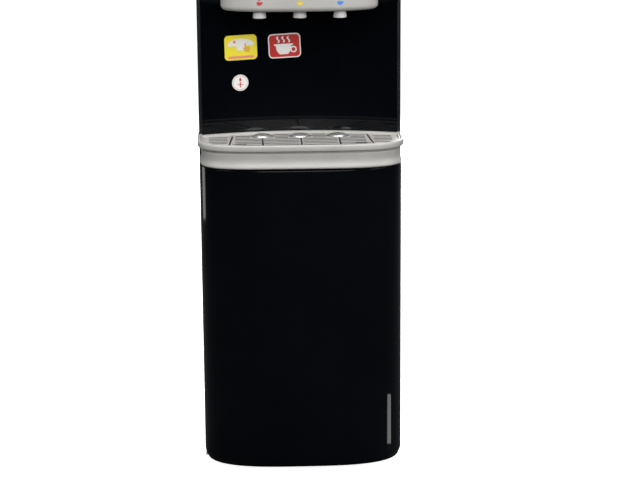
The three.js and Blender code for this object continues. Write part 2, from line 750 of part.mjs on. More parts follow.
// A funnel with a hollow neck that dips into the cold tank and a probe that opens the bottle cap.
function addBottleSeat() {
  const top = SEAT_TOP_Z;
  const rest = COVER_Z[1] + GAP;
  const [bore, neck] = NECK_R;
  const funnel = turned([
    [bore, NECK_Z], [neck, NECK_Z], [neck, NECK_Z + 41], [88, 968], [103, 984], [103, rest],
    [112, rest], [112, top - 4], [108, top], [101, top], [98, 985], [85, 971], [bore, NECK_Z + 43],
    [bore, NECK_Z],
  ], 0, SEAT_Y, 28);
  const foot = NECK_Z + 16;
  const probe = turned([[0, foot], [8, foot], [8, foot + 44], [5, foot + 52], [0, foot + 54]],
    0, SEAT_Y, 12);
  const spokes = [0, 1, 2].map((i) => {
    const spoke = box([5, bore + 1], [-2, 2], [foot, foot + 12]);
    return spoke.rotate([0, 0, 120 * i + 90]).translate([0, SEAT_Y, 0]);
  });
  addPart('bottle_seat', joined([funnel, probe, ...spokes]), ...darkPlastic);
}

function addTanks() {
  const [cold0, cold1] = COLD_TANK_Z;
  const coldTank = turned([
    [0, cold0], [COLD_TANK_R, cold0], [COLD_TANK_R, cold1], [COLD_TANK_R - SHEET, cold1],
    [COLD_TANK_R - SHEET, cold0 + 2], [0, cold0 + 2],
  ], 0, SEAT_Y, 20);
  addPart('cold_tank', coldTank, ...steel);
  const inner = COLD_TANK_R + GAP;
  const jacket = turned([
    [inner, cold0 + 2], [JACKET_R, cold0 + 2], [JACKET_R, cold1 - 1], [inner, cold1 - 1],
    [inner, cold0 + 2],
  ], 0, SEAT_Y, 20);
  addPart('cold_tank_jacket', jacket, '#d8d5c8', 0.95);

  const [hot0, hot1] = HOT_TANK_Z;
  const inside = HOT_TANK_R - SHEET;
  const hotTank = turned([
    [5, hot0 - 8], [7, hot0 - 8], [7, hot0], [HOT_TANK_R, hot0 + 4], [HOT_TANK_R, hot1 - 4],
    [7, hot1], [7, hot1 + 8], [5, hot1 + 8], [5, hot1 - SHEET], [inside, hot1 - 4 - SHEET],
    [inside, hot0 + 4 + SHEET], [5, hot0 + SHEET], [5, hot0 - 8],
  ], 0, SEAT_Y, 16);
  addPart('hot_tank', hotTank, ...steel);
}

function addHoses() {
  const under = COLD_TANK_Z[0] - GAP;
  const toTap = (x) => [x, SPIGOT_END_Y + GAP, SPIGOT_Z];
  const routes = {
    cold_hose: [[30, SEAT_Y, under], [30, SEAT_Y, SPIGOT_Z], [60, 5, SPIGOT_Z], toTap(60)],
    ambient_hose: [[0, 0, under], [0, 0, SPIGOT_Z], toTap(0)],
    hot_hose: [[-25, SEAT_Y, HOT_TANK_Z[1] + 3], [-25, SEAT_Y, SPIGOT_Z - 15],
      [-60, 5, SPIGOT_Z], toTap(-60)],
    hot_feed_hose: [[0, SEAT_Y, under], [0, SEAT_Y, HOT_TANK_Z[1] + 8 + GAP]],
    drain_hose: [[0, SEAT_Y, HOT_TANK_Z[0] - 8 - GAP], [0, SEAT_Y, 500], [DRAIN_X, 80, 480],
      [DRAIN_X, 80, DRAIN_Z], [DRAIN_X, 129, DRAIN_Z]],
  };
  Object.entries(routes).forEach(([name, corners]) => {
    addPart(name, sweep(roundedPath(corners, 10, 2), HOSE_R, HOSE_BORE_R), '#cfd6d8', 0.5);
  });
}

function addCompressor() {
  const x = COMPRESSOR_X;
  const y = COMPRESSOR_Y;
  const can = turned([
    [0, 21], [40, 21], [51, 40], [51, 70], [54, 70], [54, 76], [51, 76], [49, 112], [36, 134],
    [0, 141],
  ], x, y, 18);
  const plate = box([x - 62, x + 62], [y - 30, y + 30], COMPRESSOR_PLATE_Z);
  const mounts = [[-54, -22], [54, -22], [-54, 22], [54, 22]].map(([dx, dy]) => {
    return rodZ(x + dx, y + dy, [BASE_Z + 2 + GAP, COMPRESSOR_PLATE_Z[0] + 0.5], 7, 8);
  });
  addPart('compressor', joined([can, plate, ...mounts]), ...darkPlastic);
  const line = roundedPath([[x + 20, y + 10, 140], [x + 20, y + 10, 180], [122, 118, 240],
    [122, 118, 715], [56, 52, 730], [56, 52, COLD_TANK_Z[0] + 1.5]], 14, 3);
  addPart('suction_line', sweep(line, 3.5, 0, 5), ...copper);
}

function addCondenser() {
  const y = CONDENSER_Y;
  const w = CONDENSER_HALF_WIDTH;
  const [z0, z1] = CONDENSER_Z;
  const spacing = (z1 - z0) / (CONDENSER_RUNS - 1);
  const canLeft = COMPRESSOR_X - 54;
  const corners = [[canLeft, COMPRESSOR_Y, LEAD_Z], [-w, COMPRESSOR_Y, LEAD_Z], [-w, y, LEAD_Z]];
  for (let run = 0; run < CONDENSER_RUNS; run += 1) {
    const z = z0 + run * spacing;
    const side = run % 2 === 0 ? -1 : 1;
    corners.push([side * w, y, z], [-side * w, y, z]);
  }
  addPart('condenser_tube', sweep(roundedPath(corners, 18, 2), 3, 0, 5), ...rubber);

  const margin = 5;
  const middle = (z0 + z1) / 2;
  const height = z1 - z0 + 30;
  const pitch = 2 * (w - margin) / WIRE_BARS;
  const slots = Array.from({ length: WIRE_BARS }, (_, i) => {
    const x = margin - w + pitch * (i + 0.5);
    return rectangle(x, middle, pitch - WIRE_WIDTH, height - 14);
  });
  const grid = slab(rectangle(0, middle, 2 * w - 7, height), WIRE_Y, slots);
  addPart('condenser_wires', grid, ...rubber);
}

function addRearCover() {
  const halfWidth = HALF_WIDTH - FOLD - GAP;
  const [z0, z1] = REAR_COVER_Z;
  const vents = [];
  for (let z = VENT_Z[0]; z <= VENT_Z[1]; z += 9) {
    vents.push(rectangle(-70, z, 100, 4), rectangle(70, z, 100, 4));
  }
  const cutouts = [
    rectangle(INLET_X, CONTROL_Z, INLET_WIDTH + 1, INLET_HEIGHT + 1),
    rectangle(SWITCH_X, CONTROL_Z, SWITCH_WIDTH + 1, SWITCH_HEIGHT + 0.6),
    rectangle(KNOB_X, CONTROL_Z, 8, 8),
    rectangle(DRAIN_X, DRAIN_Z, 17, 17),
    ...vents,
  ];
  const sheet = slab(rectangle(0, (z0 + z1) / 2, 2 * halfWidth, z1 - z0), [REAR_Y - SHEET, REAR_Y],
    cutouts);
  addPart('rear_cover', sheet, ...paintedBlack);
}

// A box centred in X and Z.
function centredBox(x, z, width, height, y) {
  return box([x - width / 2, x + width / 2], y, [z - height / 2, z + height / 2]);
}

// A body pushed through the rear cover, with a wider bezel outside it.
function flushHousing(x, width, height, frontY, bezelRise) {
  return joined([
    centredBox(x, CONTROL_Z, width, height, [frontY, REAR_Y + 1]),
    centredBox(x, CONTROL_Z, width + 7, height + 7, [REAR_Y + GAP, REAR_Y + bezelRise]),
  ]);
}

function addPowerInlet() {
  const frontY = REAR_Y - 16;
  const housing = flushHousing(INLET_X, INLET_WIDTH, INLET_HEIGHT, frontY, 2.5);
  const recess = centredBox(INLET_X, CONTROL_Z, 22, 14, [frontY + 4, REAR_Y + 3]);
  const pins = [-6, 0, 6].map((dx) => {
    return centredBox(INLET_X + dx, CONTROL_Z, 2, 4, [frontY + 3, REAR_Y - 1]);
  });
  addPart('power_inlet', joined([housing.subtract(recess), ...pins]), ...darkPlastic);
}

function addSwitches() {
  const windows = [-0.5, 0.5].map((side) => SWITCH_X + side * ROCKER_PITCH);
  const plate = flushHousing(SWITCH_X, SWITCH_WIDTH, SWITCH_HEIGHT, REAR_Y - 12, 2);
  const openings = windows.map((x) => centredBox(x, CONTROL_Z, 13.6, 19.2, [130, 160]));
  addPart('switch_plate', without(plate, openings), ...darkPlastic);
  const profile = [at(-4, -7.4), at(4, -8.4), at(2.2, 0), at(4, 8.4), at(-4, 7.4)];
  ['hot', 'cold'].forEach((name, i) => {
    const rocker = sideSlab(profile, [-6.3, 6.3]).rotate([-ROCKER_TILT, 0, 0])
      .translate([windows[i], REAR_Y - 0.5, CONTROL_Z]);
    addPart(`${name}_rocker`, rocker, i === 0 ? '#c01f1c' : '#1f8f4a', 0.35);
  });
}

function addThermostatKnob() {
  const knob = joined([
    rodY(KNOB_X, CONTROL_Z, [REAR_Y + 0.6, REAR_Y + 8], KNOB_R, 20),
    centredBox(KNOB_X, CONTROL_Z, 3.6, 2 * (KNOB_R - 1), [REAR_Y + 7, REAR_Y + 11]),
    rodY(KNOB_X, CONTROL_Z, [REAR_Y - 12, REAR_Y + 1], 3, 10),
  ]);
  addPart('thermostat_knob', knob, ...whitePlastic);
}

function addDrain() {
  const spoutEnd = REAR_Y + 16;
  const spout = joined([
    rodY(DRAIN_X, DRAIN_Z, [REAR_Y - 20, spoutEnd], 8, 12),
    rodY(DRAIN_X, DRAIN_Z, [REAR_Y + GAP, REAR_Y + 2.5], 12, 12),
  ]);
  const bore = rodY(DRAIN_X, DRAIN_Z, [REAR_Y - 21, spoutEnd + 1], 5, 8);
  addPart('drain_spout', spout.subtract(bore), ...whitePlastic);
  const cap = joined([
    rodY(DRAIN_X, DRAIN_Z, [spoutEnd - 9, spoutEnd + 4], 11, 16),
    centredBox(DRAIN_X, DRAIN_Z, 3, 18, [spoutEnd + 3, spoutEnd + 6]),
  ]);
  const socket = rodY(DRAIN_X, DRAIN_Z, [spoutEnd - 10, spoutEnd + 1], 8.4, 12);
  addPart('drain_cap', cap.subtract(socket), ...darkPlastic);
}

addBase();
addFeet();
addSidePanels();
addLiner();
addDoor();
addDoorHinges();
addSplashPanel();
addTrayHousing();
addDripTray();
addGrille();
addTapHousing();
addLockSlider();
addTaps();
addHead();
addTopCover();
addBottleSeat();
addTanks();
addHoses();
addCompressor();
addCondenser();
addRearCover();
addPowerInlet();
addSwitches();
addThermostatKnob();
addDrain();

export default dispenser;
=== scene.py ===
"""The looks of a floor-standing water dispenser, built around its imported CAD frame.

Metres, +Z up, front -Y.
"""
import json
import math

import bmesh
import bpy
from mathutils import Matrix, Vector


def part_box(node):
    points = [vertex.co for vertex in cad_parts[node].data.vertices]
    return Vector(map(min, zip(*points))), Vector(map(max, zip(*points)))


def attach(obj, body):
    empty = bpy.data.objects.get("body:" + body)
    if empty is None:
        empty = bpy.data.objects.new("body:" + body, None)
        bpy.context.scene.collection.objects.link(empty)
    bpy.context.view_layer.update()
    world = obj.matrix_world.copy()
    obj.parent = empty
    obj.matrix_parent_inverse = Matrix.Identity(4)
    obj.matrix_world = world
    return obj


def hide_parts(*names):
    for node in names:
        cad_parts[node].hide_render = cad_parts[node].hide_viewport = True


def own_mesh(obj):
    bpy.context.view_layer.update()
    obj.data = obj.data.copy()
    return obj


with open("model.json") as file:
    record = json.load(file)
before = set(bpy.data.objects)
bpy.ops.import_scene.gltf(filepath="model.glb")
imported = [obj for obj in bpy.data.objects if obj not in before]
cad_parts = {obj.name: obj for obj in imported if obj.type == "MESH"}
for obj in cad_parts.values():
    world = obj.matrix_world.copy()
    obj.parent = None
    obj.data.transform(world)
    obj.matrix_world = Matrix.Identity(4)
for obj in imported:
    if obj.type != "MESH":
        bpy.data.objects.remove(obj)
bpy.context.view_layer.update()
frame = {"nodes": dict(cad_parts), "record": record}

nodes = frame["nodes"]
MM = 0.001

# ---- Shared shape of the cabinet ------------------------------------------------------------

BOW = 3.1                       # exponent of the superellipse the cabinet's front follows
BEND_Y = -72 * MM               # where the bowed front has turned square to the sides
FRONT_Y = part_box("door_skin")[0].y
HALF_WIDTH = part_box("side_panel_right")[1].x
REAR_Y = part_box("rear_cover")[1].y
HEAD_DEPTH = 100.4 * MM
MOULDING_REAR_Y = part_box("head_fascia")[0].y + HEAD_DEPTH
WALL = 3 * MM
PANEL_CHORD = 300 * MM
PANEL_SAGITTA = 28 * MM
PANEL_RADIUS = ((PANEL_CHORD / 2) ** 2 + PANEL_SAGITTA ** 2) / (2 * PANEL_SAGITTA)
PANEL_MID_Y = -47 * MM
TRAY_BOW = 4
TRAY_BEND_Y = -82 * MM
TAP_BOW = 2.5
TAP_BEND_Y = -100 * MM
TAP_NAMES = ("hot", "ambient", "cold")


def tap_x(name):
    low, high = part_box(f"{name}_nozzle")
    return (low.x + high.x) / 2


def panel_y(x):
    """Front face of the concave splash panel."""
    return PANEL_MID_Y - PANEL_RADIUS + math.sqrt(PANEL_RADIUS ** 2 - x ** 2)


def bowed_front(half_width, front, bend, bow, count=96, start=0.0):
    """Half a superellipse from the left side round to the right."""
    points = []
    for step in range(count + 1):
        angle = start + (math.pi - 2 * start) * step / count
        across = math.copysign(abs(math.cos(angle)) ** (2 / bow), math.cos(angle))
        forward = max(math.sin(angle), 0) ** (2 / bow)
        points.append((-half_width * across, bend + (front - bend) * forward))
    return points


def cabinet_front(inset, rear):
    """The bowed front, cut off at `rear` or carried straight back to it."""
    half_width, front = HALF_WIDTH - inset, FRONT_Y + inset
    if rear > BEND_Y:
        sides = bowed_front(half_width, front, BEND_Y, BOW)
        return [(-half_width, rear), *sides, (half_width, rear)]
    start = math.asin(((BEND_Y - rear) / (BEND_Y - front)) ** (BOW / 2))
    return bowed_front(half_width, front, BEND_Y, BOW, start=start)


def along_panel(half_width, forward, count=32):
    xs = [half_width * (1 - 2 * step / count) for step in range(count + 1)]
    return [(x, panel_y(x) - forward) for x in xs]


def shelf_outline(inset, ear, ear_rear, forward):
    low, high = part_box("tray_housing")
    half_width = high.x - inset
    ear = min(ear, half_width)
    front = bowed_front(half_width, low.y + inset, TRAY_BEND_Y, TRAY_BOW)
    return [*front, (half_width, ear_rear), (ear, ear_rear), *along_panel(ear, forward),
            (-ear, ear_rear), (-half_width, ear_rear)]


def tray_outline(inset, rear_inset):
    """An outline inside the shelf, whose rear edge runs along the splash panel."""
    half_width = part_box("tray_housing")[1].x - inset
    return shelf_outline(inset, half_width, panel_y(half_width) - rear_inset, rear_inset)


def tap_housing_outline(inset, forward):
    low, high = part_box("tap_housing")
    half_width = high.x - inset
    front = bowed_front(half_width, low.y + inset, TAP_BEND_Y, TAP_BOW)
    return [*front, *along_panel(half_width, forward)]


def tap_housing_y(x):
    low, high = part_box("tap_housing")
    share = 1 - (abs(x) / high.x) ** TAP_BOW
    return TAP_BEND_Y + (low.y - TAP_BEND_Y) * share ** (1 / TAP_BOW)


def circle(radius, centre=(0, 0), count=96):
    turns = [2 * math.pi * step / count for step in range(count)]
    return [(centre[0] + radius * math.cos(a), centre[1] + radius * math.sin(a)) for a in turns]


def rounded_rectangle(width, height, radius, steps=6):
    points = []
    for corner in range(4):
        sx = 1 if corner in (0, 3) else -1
        sy = 1 if corner in (0, 1) else -1
        for step in range(steps + 1):
            angle = math.pi / 2 * (corner + step / steps)
            points.append((sx * (width / 2 - radius) + radius * math.cos(angle),
                           sy * (height / 2 - radius) + radius * math.sin(angle)))
    return points


def quarter(radius, steps=5, hold=0.4 * MM):
    """(inset, rise) pairs up a rounded edge, and a close ring above it that keeps the wall flat."""
    turns = [math.pi / 2 * step / steps for step in range(steps + 1)]
    curve = [(radius * (1 - math.sin(a)), radius * (1 - math.cos(a))) for a in turns]
    return [*curve, (0, radius + hold)]


# ---- Modelling tools ------------------------------------------------------------------------

def deselect_all():
    if bpy.context.object and bpy.context.object.mode != "OBJECT":
        bpy.ops.object.mode_set(mode="OBJECT")
    bpy.ops.object.select_all(action="DESELECT")


def only(piece):
    deselect_all()
    piece.select_set(True)
    bpy.context.view_layer.objects.active = piece


def place_ring(piece, points, height):
    """Moves the selected ring onto an outline at a height."""
    mesh = bmesh.from_edit_mesh(piece.data)
    order = mesh.verts.layers.int["order"]
    for vert in mesh.verts:
        if vert.select:
            vert.co = (*points[vert[order]], height)
    bmesh.update_edit_mesh(piece.data)


def stacked(name, rings, looped=False, smooth=32):
    """A circle shaped to the first outline, then extruded from outline to outline."""
    deselect_all()
    points, height = rings[0]
    bpy.ops.mesh.primitive_circle_add(vertices=len(points), radius=1)
    piece = bpy.context.object
    piece.name = piece.data.name = name
    bpy.ops.object.mode_set(mode="EDIT")
    mesh = bmesh.from_edit_mesh(piece.data)
    order = mesh.verts.layers.int.new("order")
    for index, vert in enumerate(mesh.verts):
        vert[order] = index
    bmesh.update_edit_mesh(piece.data)
    bpy.ops.mesh.select_all(action="SELECT")
    place_ring(piece, points, height)
    if not looped:
        bpy.ops.mesh.edge_face_add()
    for points, height in rings[1:]:
        bpy.ops.mesh.extrude_region_move()
        place_ring(piece, points, height)
    if looped:
        bpy.ops.mesh.select_all(action="DESELECT")
        bpy.ops.mesh.select_mode(type="EDGE")
        bpy.ops.mesh.select_non_manifold()
        bpy.ops.mesh.bridge_edge_loops()
        bpy.ops.mesh.select_mode(type="VERT")
    tidy_mesh(smooth)
    return piece


def tidy_mesh(smooth=32, merge=0.00001):
    """Leaves edit mode with doubles merged, faces outwards and edges sharper than `smooth` crisp."""
    bpy.ops.mesh.select_all(action="SELECT")
    bpy.ops.mesh.remove_doubles(threshold=merge)
    bpy.ops.mesh.normals_make_consistent(inside=False)
    bpy.ops.object.mode_set(mode="OBJECT")
    bpy.ops.object.shade_smooth_by_angle(angle=math.radians(smooth))


def block(name, low, high, bevel=0.0004):
    """A box with softened edges."""
    deselect_all()
    low, high = Vector(low), Vector(high)
    bpy.ops.mesh.primitive_cube_add(size=1, location=(low + high) / 2, scale=high - low)
    piece = bpy.context.object
    piece.name = piece.data.name = name
    bpy.ops.object.transform_apply(location=True, rotation=True, scale=True)
    if bevel:
        bpy.ops.object.mode_set(mode="EDIT")
        bpy.ops.mesh.select_all(action="SELECT")
        bpy.ops.mesh.bevel(offset=bevel, segments=2, affect="EDGES")
        tidy_mesh()
    return piece


def turned(name, profile, centre, axis="Z", looped=False, count=64):
    """Rings of (radius, distance) along an axis through `centre`."""
    piece = stacked(name, [(circle(r, count=count), h) for r, h in profile], looped)
    turn = {"Z": Matrix(), "Y": Matrix.Rotation(-math.pi / 2, 4, "X"),
            "X": Matrix.Rotation(math.pi / 2, 4, "Y")}[axis]
    piece.data.transform(Matrix.Translation(centre) @ turn)
    return piece


def apply(piece, kind, **settings):
    only(piece)
    modifier = piece.modifiers.new(kind.title(), kind)
    for key, value in settings.items():
        setattr(modifier, key, value)
    bpy.ops.object.modifier_apply(modifier=modifier.name)


def join(name, first, *rest):
    only(first)
    for piece in rest:
        piece.select_set(True)
    if rest:
        bpy.ops.object.join()
    first.name = first.data.name = name
    return first


def repeated(name, piece, shifts):
    """The piece moved by each shift, as one object; every copy has its own mesh."""
    copies = []
    for shift in shifts:
        twin = piece.copy()
        twin.data = piece.data.copy()
        bpy.context.scene.collection.objects.link(twin)
        twin.data.transform(Matrix.Translation(shift))
        copies.append(twin)
    bpy.data.objects.remove(piece)
    bpy.context.view_layer.update()
    return join(name, *copies)


def cut(piece, *cutters):
    for cutter in cutters:
        apply(piece, "BOOLEAN", operation="DIFFERENCE", solver="EXACT", use_self=True, object=cutter)
        bpy.data.objects.remove(cutter)
    only(piece)
    bpy.ops.object.shade_smooth_by_angle(angle=math.radians(32))
    return piece


def copied(node, name):
    """A merged copy of a CAD node's mesh."""
    deselect_all()
    piece = bpy.data.objects.new(name, nodes[node].data.copy())
    bpy.context.scene.collection.objects.link(piece)
    piece.data.materials.clear()
    only(piece)
    bpy.ops.object.mode_set(mode="EDIT")
    bpy.ops.mesh.select_all(action="SELECT")
    bpy.ops.mesh.remove_doubles(threshold=0.00001)
    bpy.ops.mesh.dissolve_limited(angle_limit=math.radians(1))
    tidy_mesh()
    return piece


def put(piece, body, material, *replaced, slot=None):
    """Gives a finished piece its material and lets it ride on its body."""
    if material:
        piece.data.materials.clear()
        piece.data.materials.append(material)
    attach(piece, body)
    if replaced:
        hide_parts(*replaced)
    return piece


def softened(node, body, material, bevel=0.0004, smooth=32):
    """A CAD node's shape with small rounded edges."""
    piece = copied(node, f"{node}_finished")
    apply(piece, "BEVEL", width=bevel, segments=2, limit_method="ANGLE",
          angle_limit=math.radians(35), harden_normals=False)
    only(piece)
    bpy.ops.object.shade_smooth_by_angle(angle=math.radians(smooth))
    return put(piece, body, material, node)


def rounded_tube(node, body, material, swell):
    """A CAD tube with a round section; `swell` gives back the radius that rounding takes."""
    deselect_all()
    piece = bpy.data.objects.new(f"{node}_finished", nodes[node].data.copy())
    bpy.context.scene.collection.objects.link(piece)
    piece.data.materials.clear()
    only(piece)
    bpy.ops.object.mode_set(mode="EDIT")
    bpy.ops.mesh.select_all(action="SELECT")
    bpy.ops.mesh.remove_doubles(threshold=0.00001)
    bpy.ops.mesh.tris_convert_to_quads(face_threshold=math.pi, shape_threshold=math.pi)
    bpy.ops.object.mode_set(mode="OBJECT")
    apply(piece, "SUBSURF", levels=2, render_levels=2)
    only(piece)
    bpy.ops.object.mode_set(mode="EDIT")
    bpy.ops.mesh.select_all(action="SELECT")
    bpy.ops.mesh.normals_make_consistent(inside=False)
    bpy.ops.transform.shrink_fatten(value=swell)
    bpy.ops.object.mode_set(mode="OBJECT")
    bpy.ops.object.shade_smooth()
    return put(piece, body, material, node)


# ---- Finishes -------------------------------------------------------------------------------

def finish(name, tone, second, roughness, grain=900.0, bump=0.05, metallic=0.0, patch=18.0,
           stretch=(1, 1, 1), coat=0.0, specular=0.5, transmission=0.0):
    """A surface whose tone, gloss and fine relief vary the way a made one does."""
    material = bpy.data.materials.new(name)
    material.use_nodes = True
    tree = material.node_tree
    link = tree.links.new
    shader = tree.nodes["Principled BSDF"]
    place = tree.nodes.new("ShaderNodeTexCoord")
    mapping = tree.nodes.new("ShaderNodeMapping")
    mapping.inputs["Scale"].default_value = stretch
    link(place.outputs["Object"], mapping.inputs["Vector"])

    fine = tree.nodes.new("ShaderNodeTexNoise")
    fine.inputs["Scale"].default_value = grain
    fine.inputs["Detail"].default_value = 4
    broad = tree.nodes.new("ShaderNodeTexNoise")
    broad.inputs["Scale"].default_value = patch
    broad.inputs["Detail"].default_value = 6
    for noise in (fine, broad):
        link(mapping.outputs["Vector"], noise.inputs["Vector"])

    blend = tree.nodes.new("ShaderNodeMath")
    blend.operation = "MULTIPLY_ADD"
    blend.inputs[1].default_value = 0.5
    link(fine.outputs["Fac"], blend.inputs[0])
    half = tree.nodes.new("ShaderNodeMath")
    half.operation = "MULTIPLY"
    half.inputs[1].default_value = 0.5
    link(broad.outputs["Fac"], half.inputs[0])
    link(half.outputs[0], blend.inputs[2])

    tones = tree.nodes.new("ShaderNodeValToRGB")
    tones.color_ramp.elements[0].position = 0.35
    tones.color_ramp.elements[1].position = 0.65
    tones.color_ramp.elements[0].color = (*tone, 1)
    tones.color_ramp.elements[1].color = (*second, 1)
    link(blend.outputs[0], tones.inputs["Fac"])
    link(tones.outputs["Color"], shader.inputs["Base Color"])

    gloss = tree.nodes.new("ShaderNodeMapRange")
    gloss.inputs["From Min"].default_value = 0.3
    gloss.inputs["From Max"].default_value = 0.7
    gloss.inputs["To Min"].default_value = roughness[0]
    gloss.inputs["To Max"].default_value = roughness[1]
    link(broad.outputs["Fac"], gloss.inputs["Value"])
    link(gloss.outputs["Result"], shader.inputs["Roughness"])

    relief = tree.nodes.new("ShaderNodeBump")
    relief.inputs["Strength"].default_value = bump
    relief.inputs["Distance"].default_value = 0.0002
    link(fine.outputs["Fac"], relief.inputs["Height"])
    link(relief.outputs["Normal"], shader.inputs["Normal"])

    shader.inputs["Metallic"].default_value = metallic
    shader.inputs["Coat Weight"].default_value = coat
    shader.inputs["Coat Roughness"].default_value = 0.05
    shader.inputs["Specular IOR Level"].default_value = specular
    shader.inputs["Transmission Weight"].default_value = transmission
    return material


gloss_black = finish("gloss_black_moulding", (0.0006, 0.0010, 0.0018), (0.0014, 0.0021, 0.0032),
                     (0.03, 0.07), grain=420, bump=0.015, patch=9, specular=0.24)
black_powder = finish("black_powder_coat", (0.0045, 0.005, 0.006), (0.008, 0.0085, 0.010),
                      (0.30, 0.40), grain=1600, bump=0.3, specular=0.35)
black_moulded = finish("black_moulded_plastic", (0.016, 0.016, 0.018), (0.024, 0.024, 0.026),
                       (0.42, 0.55), grain=1100, bump=0.3)
silver_paint = finish("silver_painted_plastic", (0.43, 0.42, 0.395), (0.52, 0.51, 0.48),
                      (0.46, 0.56), grain=2600, bump=0.06, metallic=0.12, specular=0.25)
grille_paint = finish("silver_grille_plastic", (0.60, 0.57, 0.55), (0.70, 0.67, 0.64),
                      (0.38, 0.48), grain=2600, bump=0.06, metallic=0.2)
dome_silver = finish("polished_silver_dome", (0.86, 0.85, 0.82), (0.92, 0.91, 0.88), (0.14, 0.2),
                     grain=1500, bump=0.02, metallic=0.8)
pale_plastic = finish("pale_tap_plastic", (0.84, 0.83, 0.80), (0.92, 0.91, 0.88), (0.25, 0.34),
                      grain=900, bump=0.05, coat=0.2)
liner_plastic = finish("liner_plastic", (0.50, 0.51, 0.52), (0.58, 0.59, 0.60), (0.45, 0.6),
                       grain=700, bump=0.25)
drawn_steel = finish("drawn_stainless", (0.52, 0.53, 0.55), (0.68, 0.69, 0.71), (0.2, 0.34),
                     grain=900, bump=0.12, metallic=1.0, stretch=(1, 1, 0.04))
zinc = finish("zinc_plated_steel", (0.36, 0.38, 0.40), (0.52, 0.54, 0.56), (0.3, 0.5), grain=160,
              bump=0.08, metallic=0.95, patch=60)
copper = finish("drawn_copper", (0.50, 0.20, 0.09), (0.66, 0.30, 0.15), (0.22, 0.4), grain=300,
                bump=0.06, metallic=1.0, patch=50)
# painted shade: a near-black grey laid on the tray's basin and on the grille's slot walls and groove
# floors, where shade falls under and inside the grille
painted_shade_grey = finish("basin_painted_shade", (0.022, 0.022, 0.024), (0.035, 0.035, 0.037), (0.4, 0.5),
                    grain=900, bump=0.2)
rubber = finish("moulded_rubber", (0.012, 0.012, 0.012), (0.022, 0.022, 0.022), (0.7, 0.85),
                grain=900, bump=0.4)
foam = finish("insulation_foam", (0.56, 0.52, 0.42), (0.70, 0.66, 0.56), (0.85, 0.95), grain=420,
              bump=0.9, patch=40)
silicone = finish("silicone_hose", (0.55, 0.58, 0.60), (0.68, 0.70, 0.72), (0.3, 0.45), grain=300,
                  bump=0.05, transmission=0.2)
red_plastic = finish("red_plastic", (0.44, 0.018, 0.014), (0.54, 0.03, 0.022), (0.2, 0.3), bump=0.06)
yellow_plastic = finish("yellow_plastic", (0.72, 0.46, 0.02), (0.80, 0.54, 0.035), (0.2, 0.3),
                        bump=0.06)
blue_plastic = finish("blue_plastic", (0.012, 0.10, 0.44), (0.02, 0.14, 0.54), (0.2, 0.3), bump=0.06)
green_plastic = finish("green_plastic", (0.01, 0.26, 0.07), (0.02, 0.34, 0.10), (0.2, 0.3),
                       bump=0.06)
smoked = finish("smoked_window", (0.004, 0.005, 0.006), (0.008, 0.009, 0.010), (0.05, 0.1),
                bump=0.01)
ink_yellow = finish("label_yellow", (0.92, 0.76, 0.03), (0.96, 0.82, 0.05), (0.3, 0.4), bump=0.04)
ink_white = finish("label_white", (0.86, 0.84, 0.80), (0.92, 0.90, 0.86), (0.3, 0.4), bump=0.04)
ink_red = finish("label_red", (0.50, 0.02, 0.018), (0.58, 0.035, 0.028), (0.3, 0.4), bump=0.04)
ink_pink = finish("label_pink", (0.80, 0.26, 0.20), (0.86, 0.32, 0.26), (0.3, 0.4), bump=0.04)
ink_orange = finish("label_orange", (0.82, 0.42, 0.05), (0.88, 0.48, 0.08), (0.3, 0.4), bump=0.04)
icon_red = finish("icon_red", (0.46, 0.03, 0.03), (0.54, 0.05, 0.045), (0.35, 0.45), bump=0.04)
icon_yellow = finish("icon_yellow", (0.80, 0.56, 0.04), (0.86, 0.62, 0.07), (0.35, 0.45), bump=0.04)
icon_blue = finish("icon_blue", (0.03, 0.20, 0.66), (0.05, 0.25, 0.74), (0.35, 0.45), bump=0.04)

FINISH_OF_SLOT = {
    "black_paint": black_powder, "gloss_black": gloss_black, "silver_plastic": silver_paint,
    "dark_plastic": black_moulded, "white_plastic": pale_plastic, "liner_plastic": liner_plastic,
    "stainless": drawn_steel, "zinc_plate": zinc, "copper_tube": copper, "rubber": rubber,
    "foam": foam, "hose": silicone, "red_plastic": red_plastic, "yellow_plastic": yellow_plastic,
    "blue_plastic": blue_plastic, "green_plastic": green_plastic, "smoked_window": smoked,
}
slot_of = {part["node"]: part["material_slot"] for part in frame["record"]["subparts"]}
body_of = {}
for body, members in frame["record"]["behaviour"]["bodies"].items():
    for member in members:
        body_of[member] = body


def finish_of(node):
    return FINISH_OF_SLOT[slot_of[node]]


# ---- Camera, light and floor ----------------------------------------------------------------

def add_camera():
    tilt, roll, turn = 0.23612, -0.00696, 0.03849
    forward = Vector((math.sin(turn) * math.cos(tilt), math.cos(turn) * math.cos(tilt),
                      -math.sin(tilt)))
    level = Vector((math.cos(turn), -math.sin(turn), 0))
    upward = level.cross(forward)
    right = math.cos(roll) * level + math.sin(roll) * upward
    above = -math.sin(roll) * level + math.cos(roll) * upward
    camera = bpy.data.objects.new("camera", bpy.data.cameras.new("camera"))
    bpy.context.scene.collection.objects.link(camera)
    camera.data.lens = 108.79
    camera.data.sensor_width = 36
    camera.data.clip_end = 50
    camera.matrix_world = Matrix.Translation((-0.0831, -3.0, 1.05295)) @ Matrix(
        (right, above, -forward)).transposed().to_4x4()
    bpy.context.scene.camera = camera


def add_panel_light(name, location, target, size, power):
    data = bpy.data.lights.new(name, "AREA")
    data.shape = "RECTANGLE"
    data.size, data.size_y = size
    data.energy = power
    lamp = bpy.data.objects.new(name, data)
    bpy.context.scene.collection.objects.link(lamp)
    lamp.location = location
    direction = Vector(target) - Vector(location)
    lamp.rotation_mode = "QUATERNION"
    lamp.rotation_quaternion = direction.to_track_quat("-Z", "Y")
    lamp.visible_camera = False


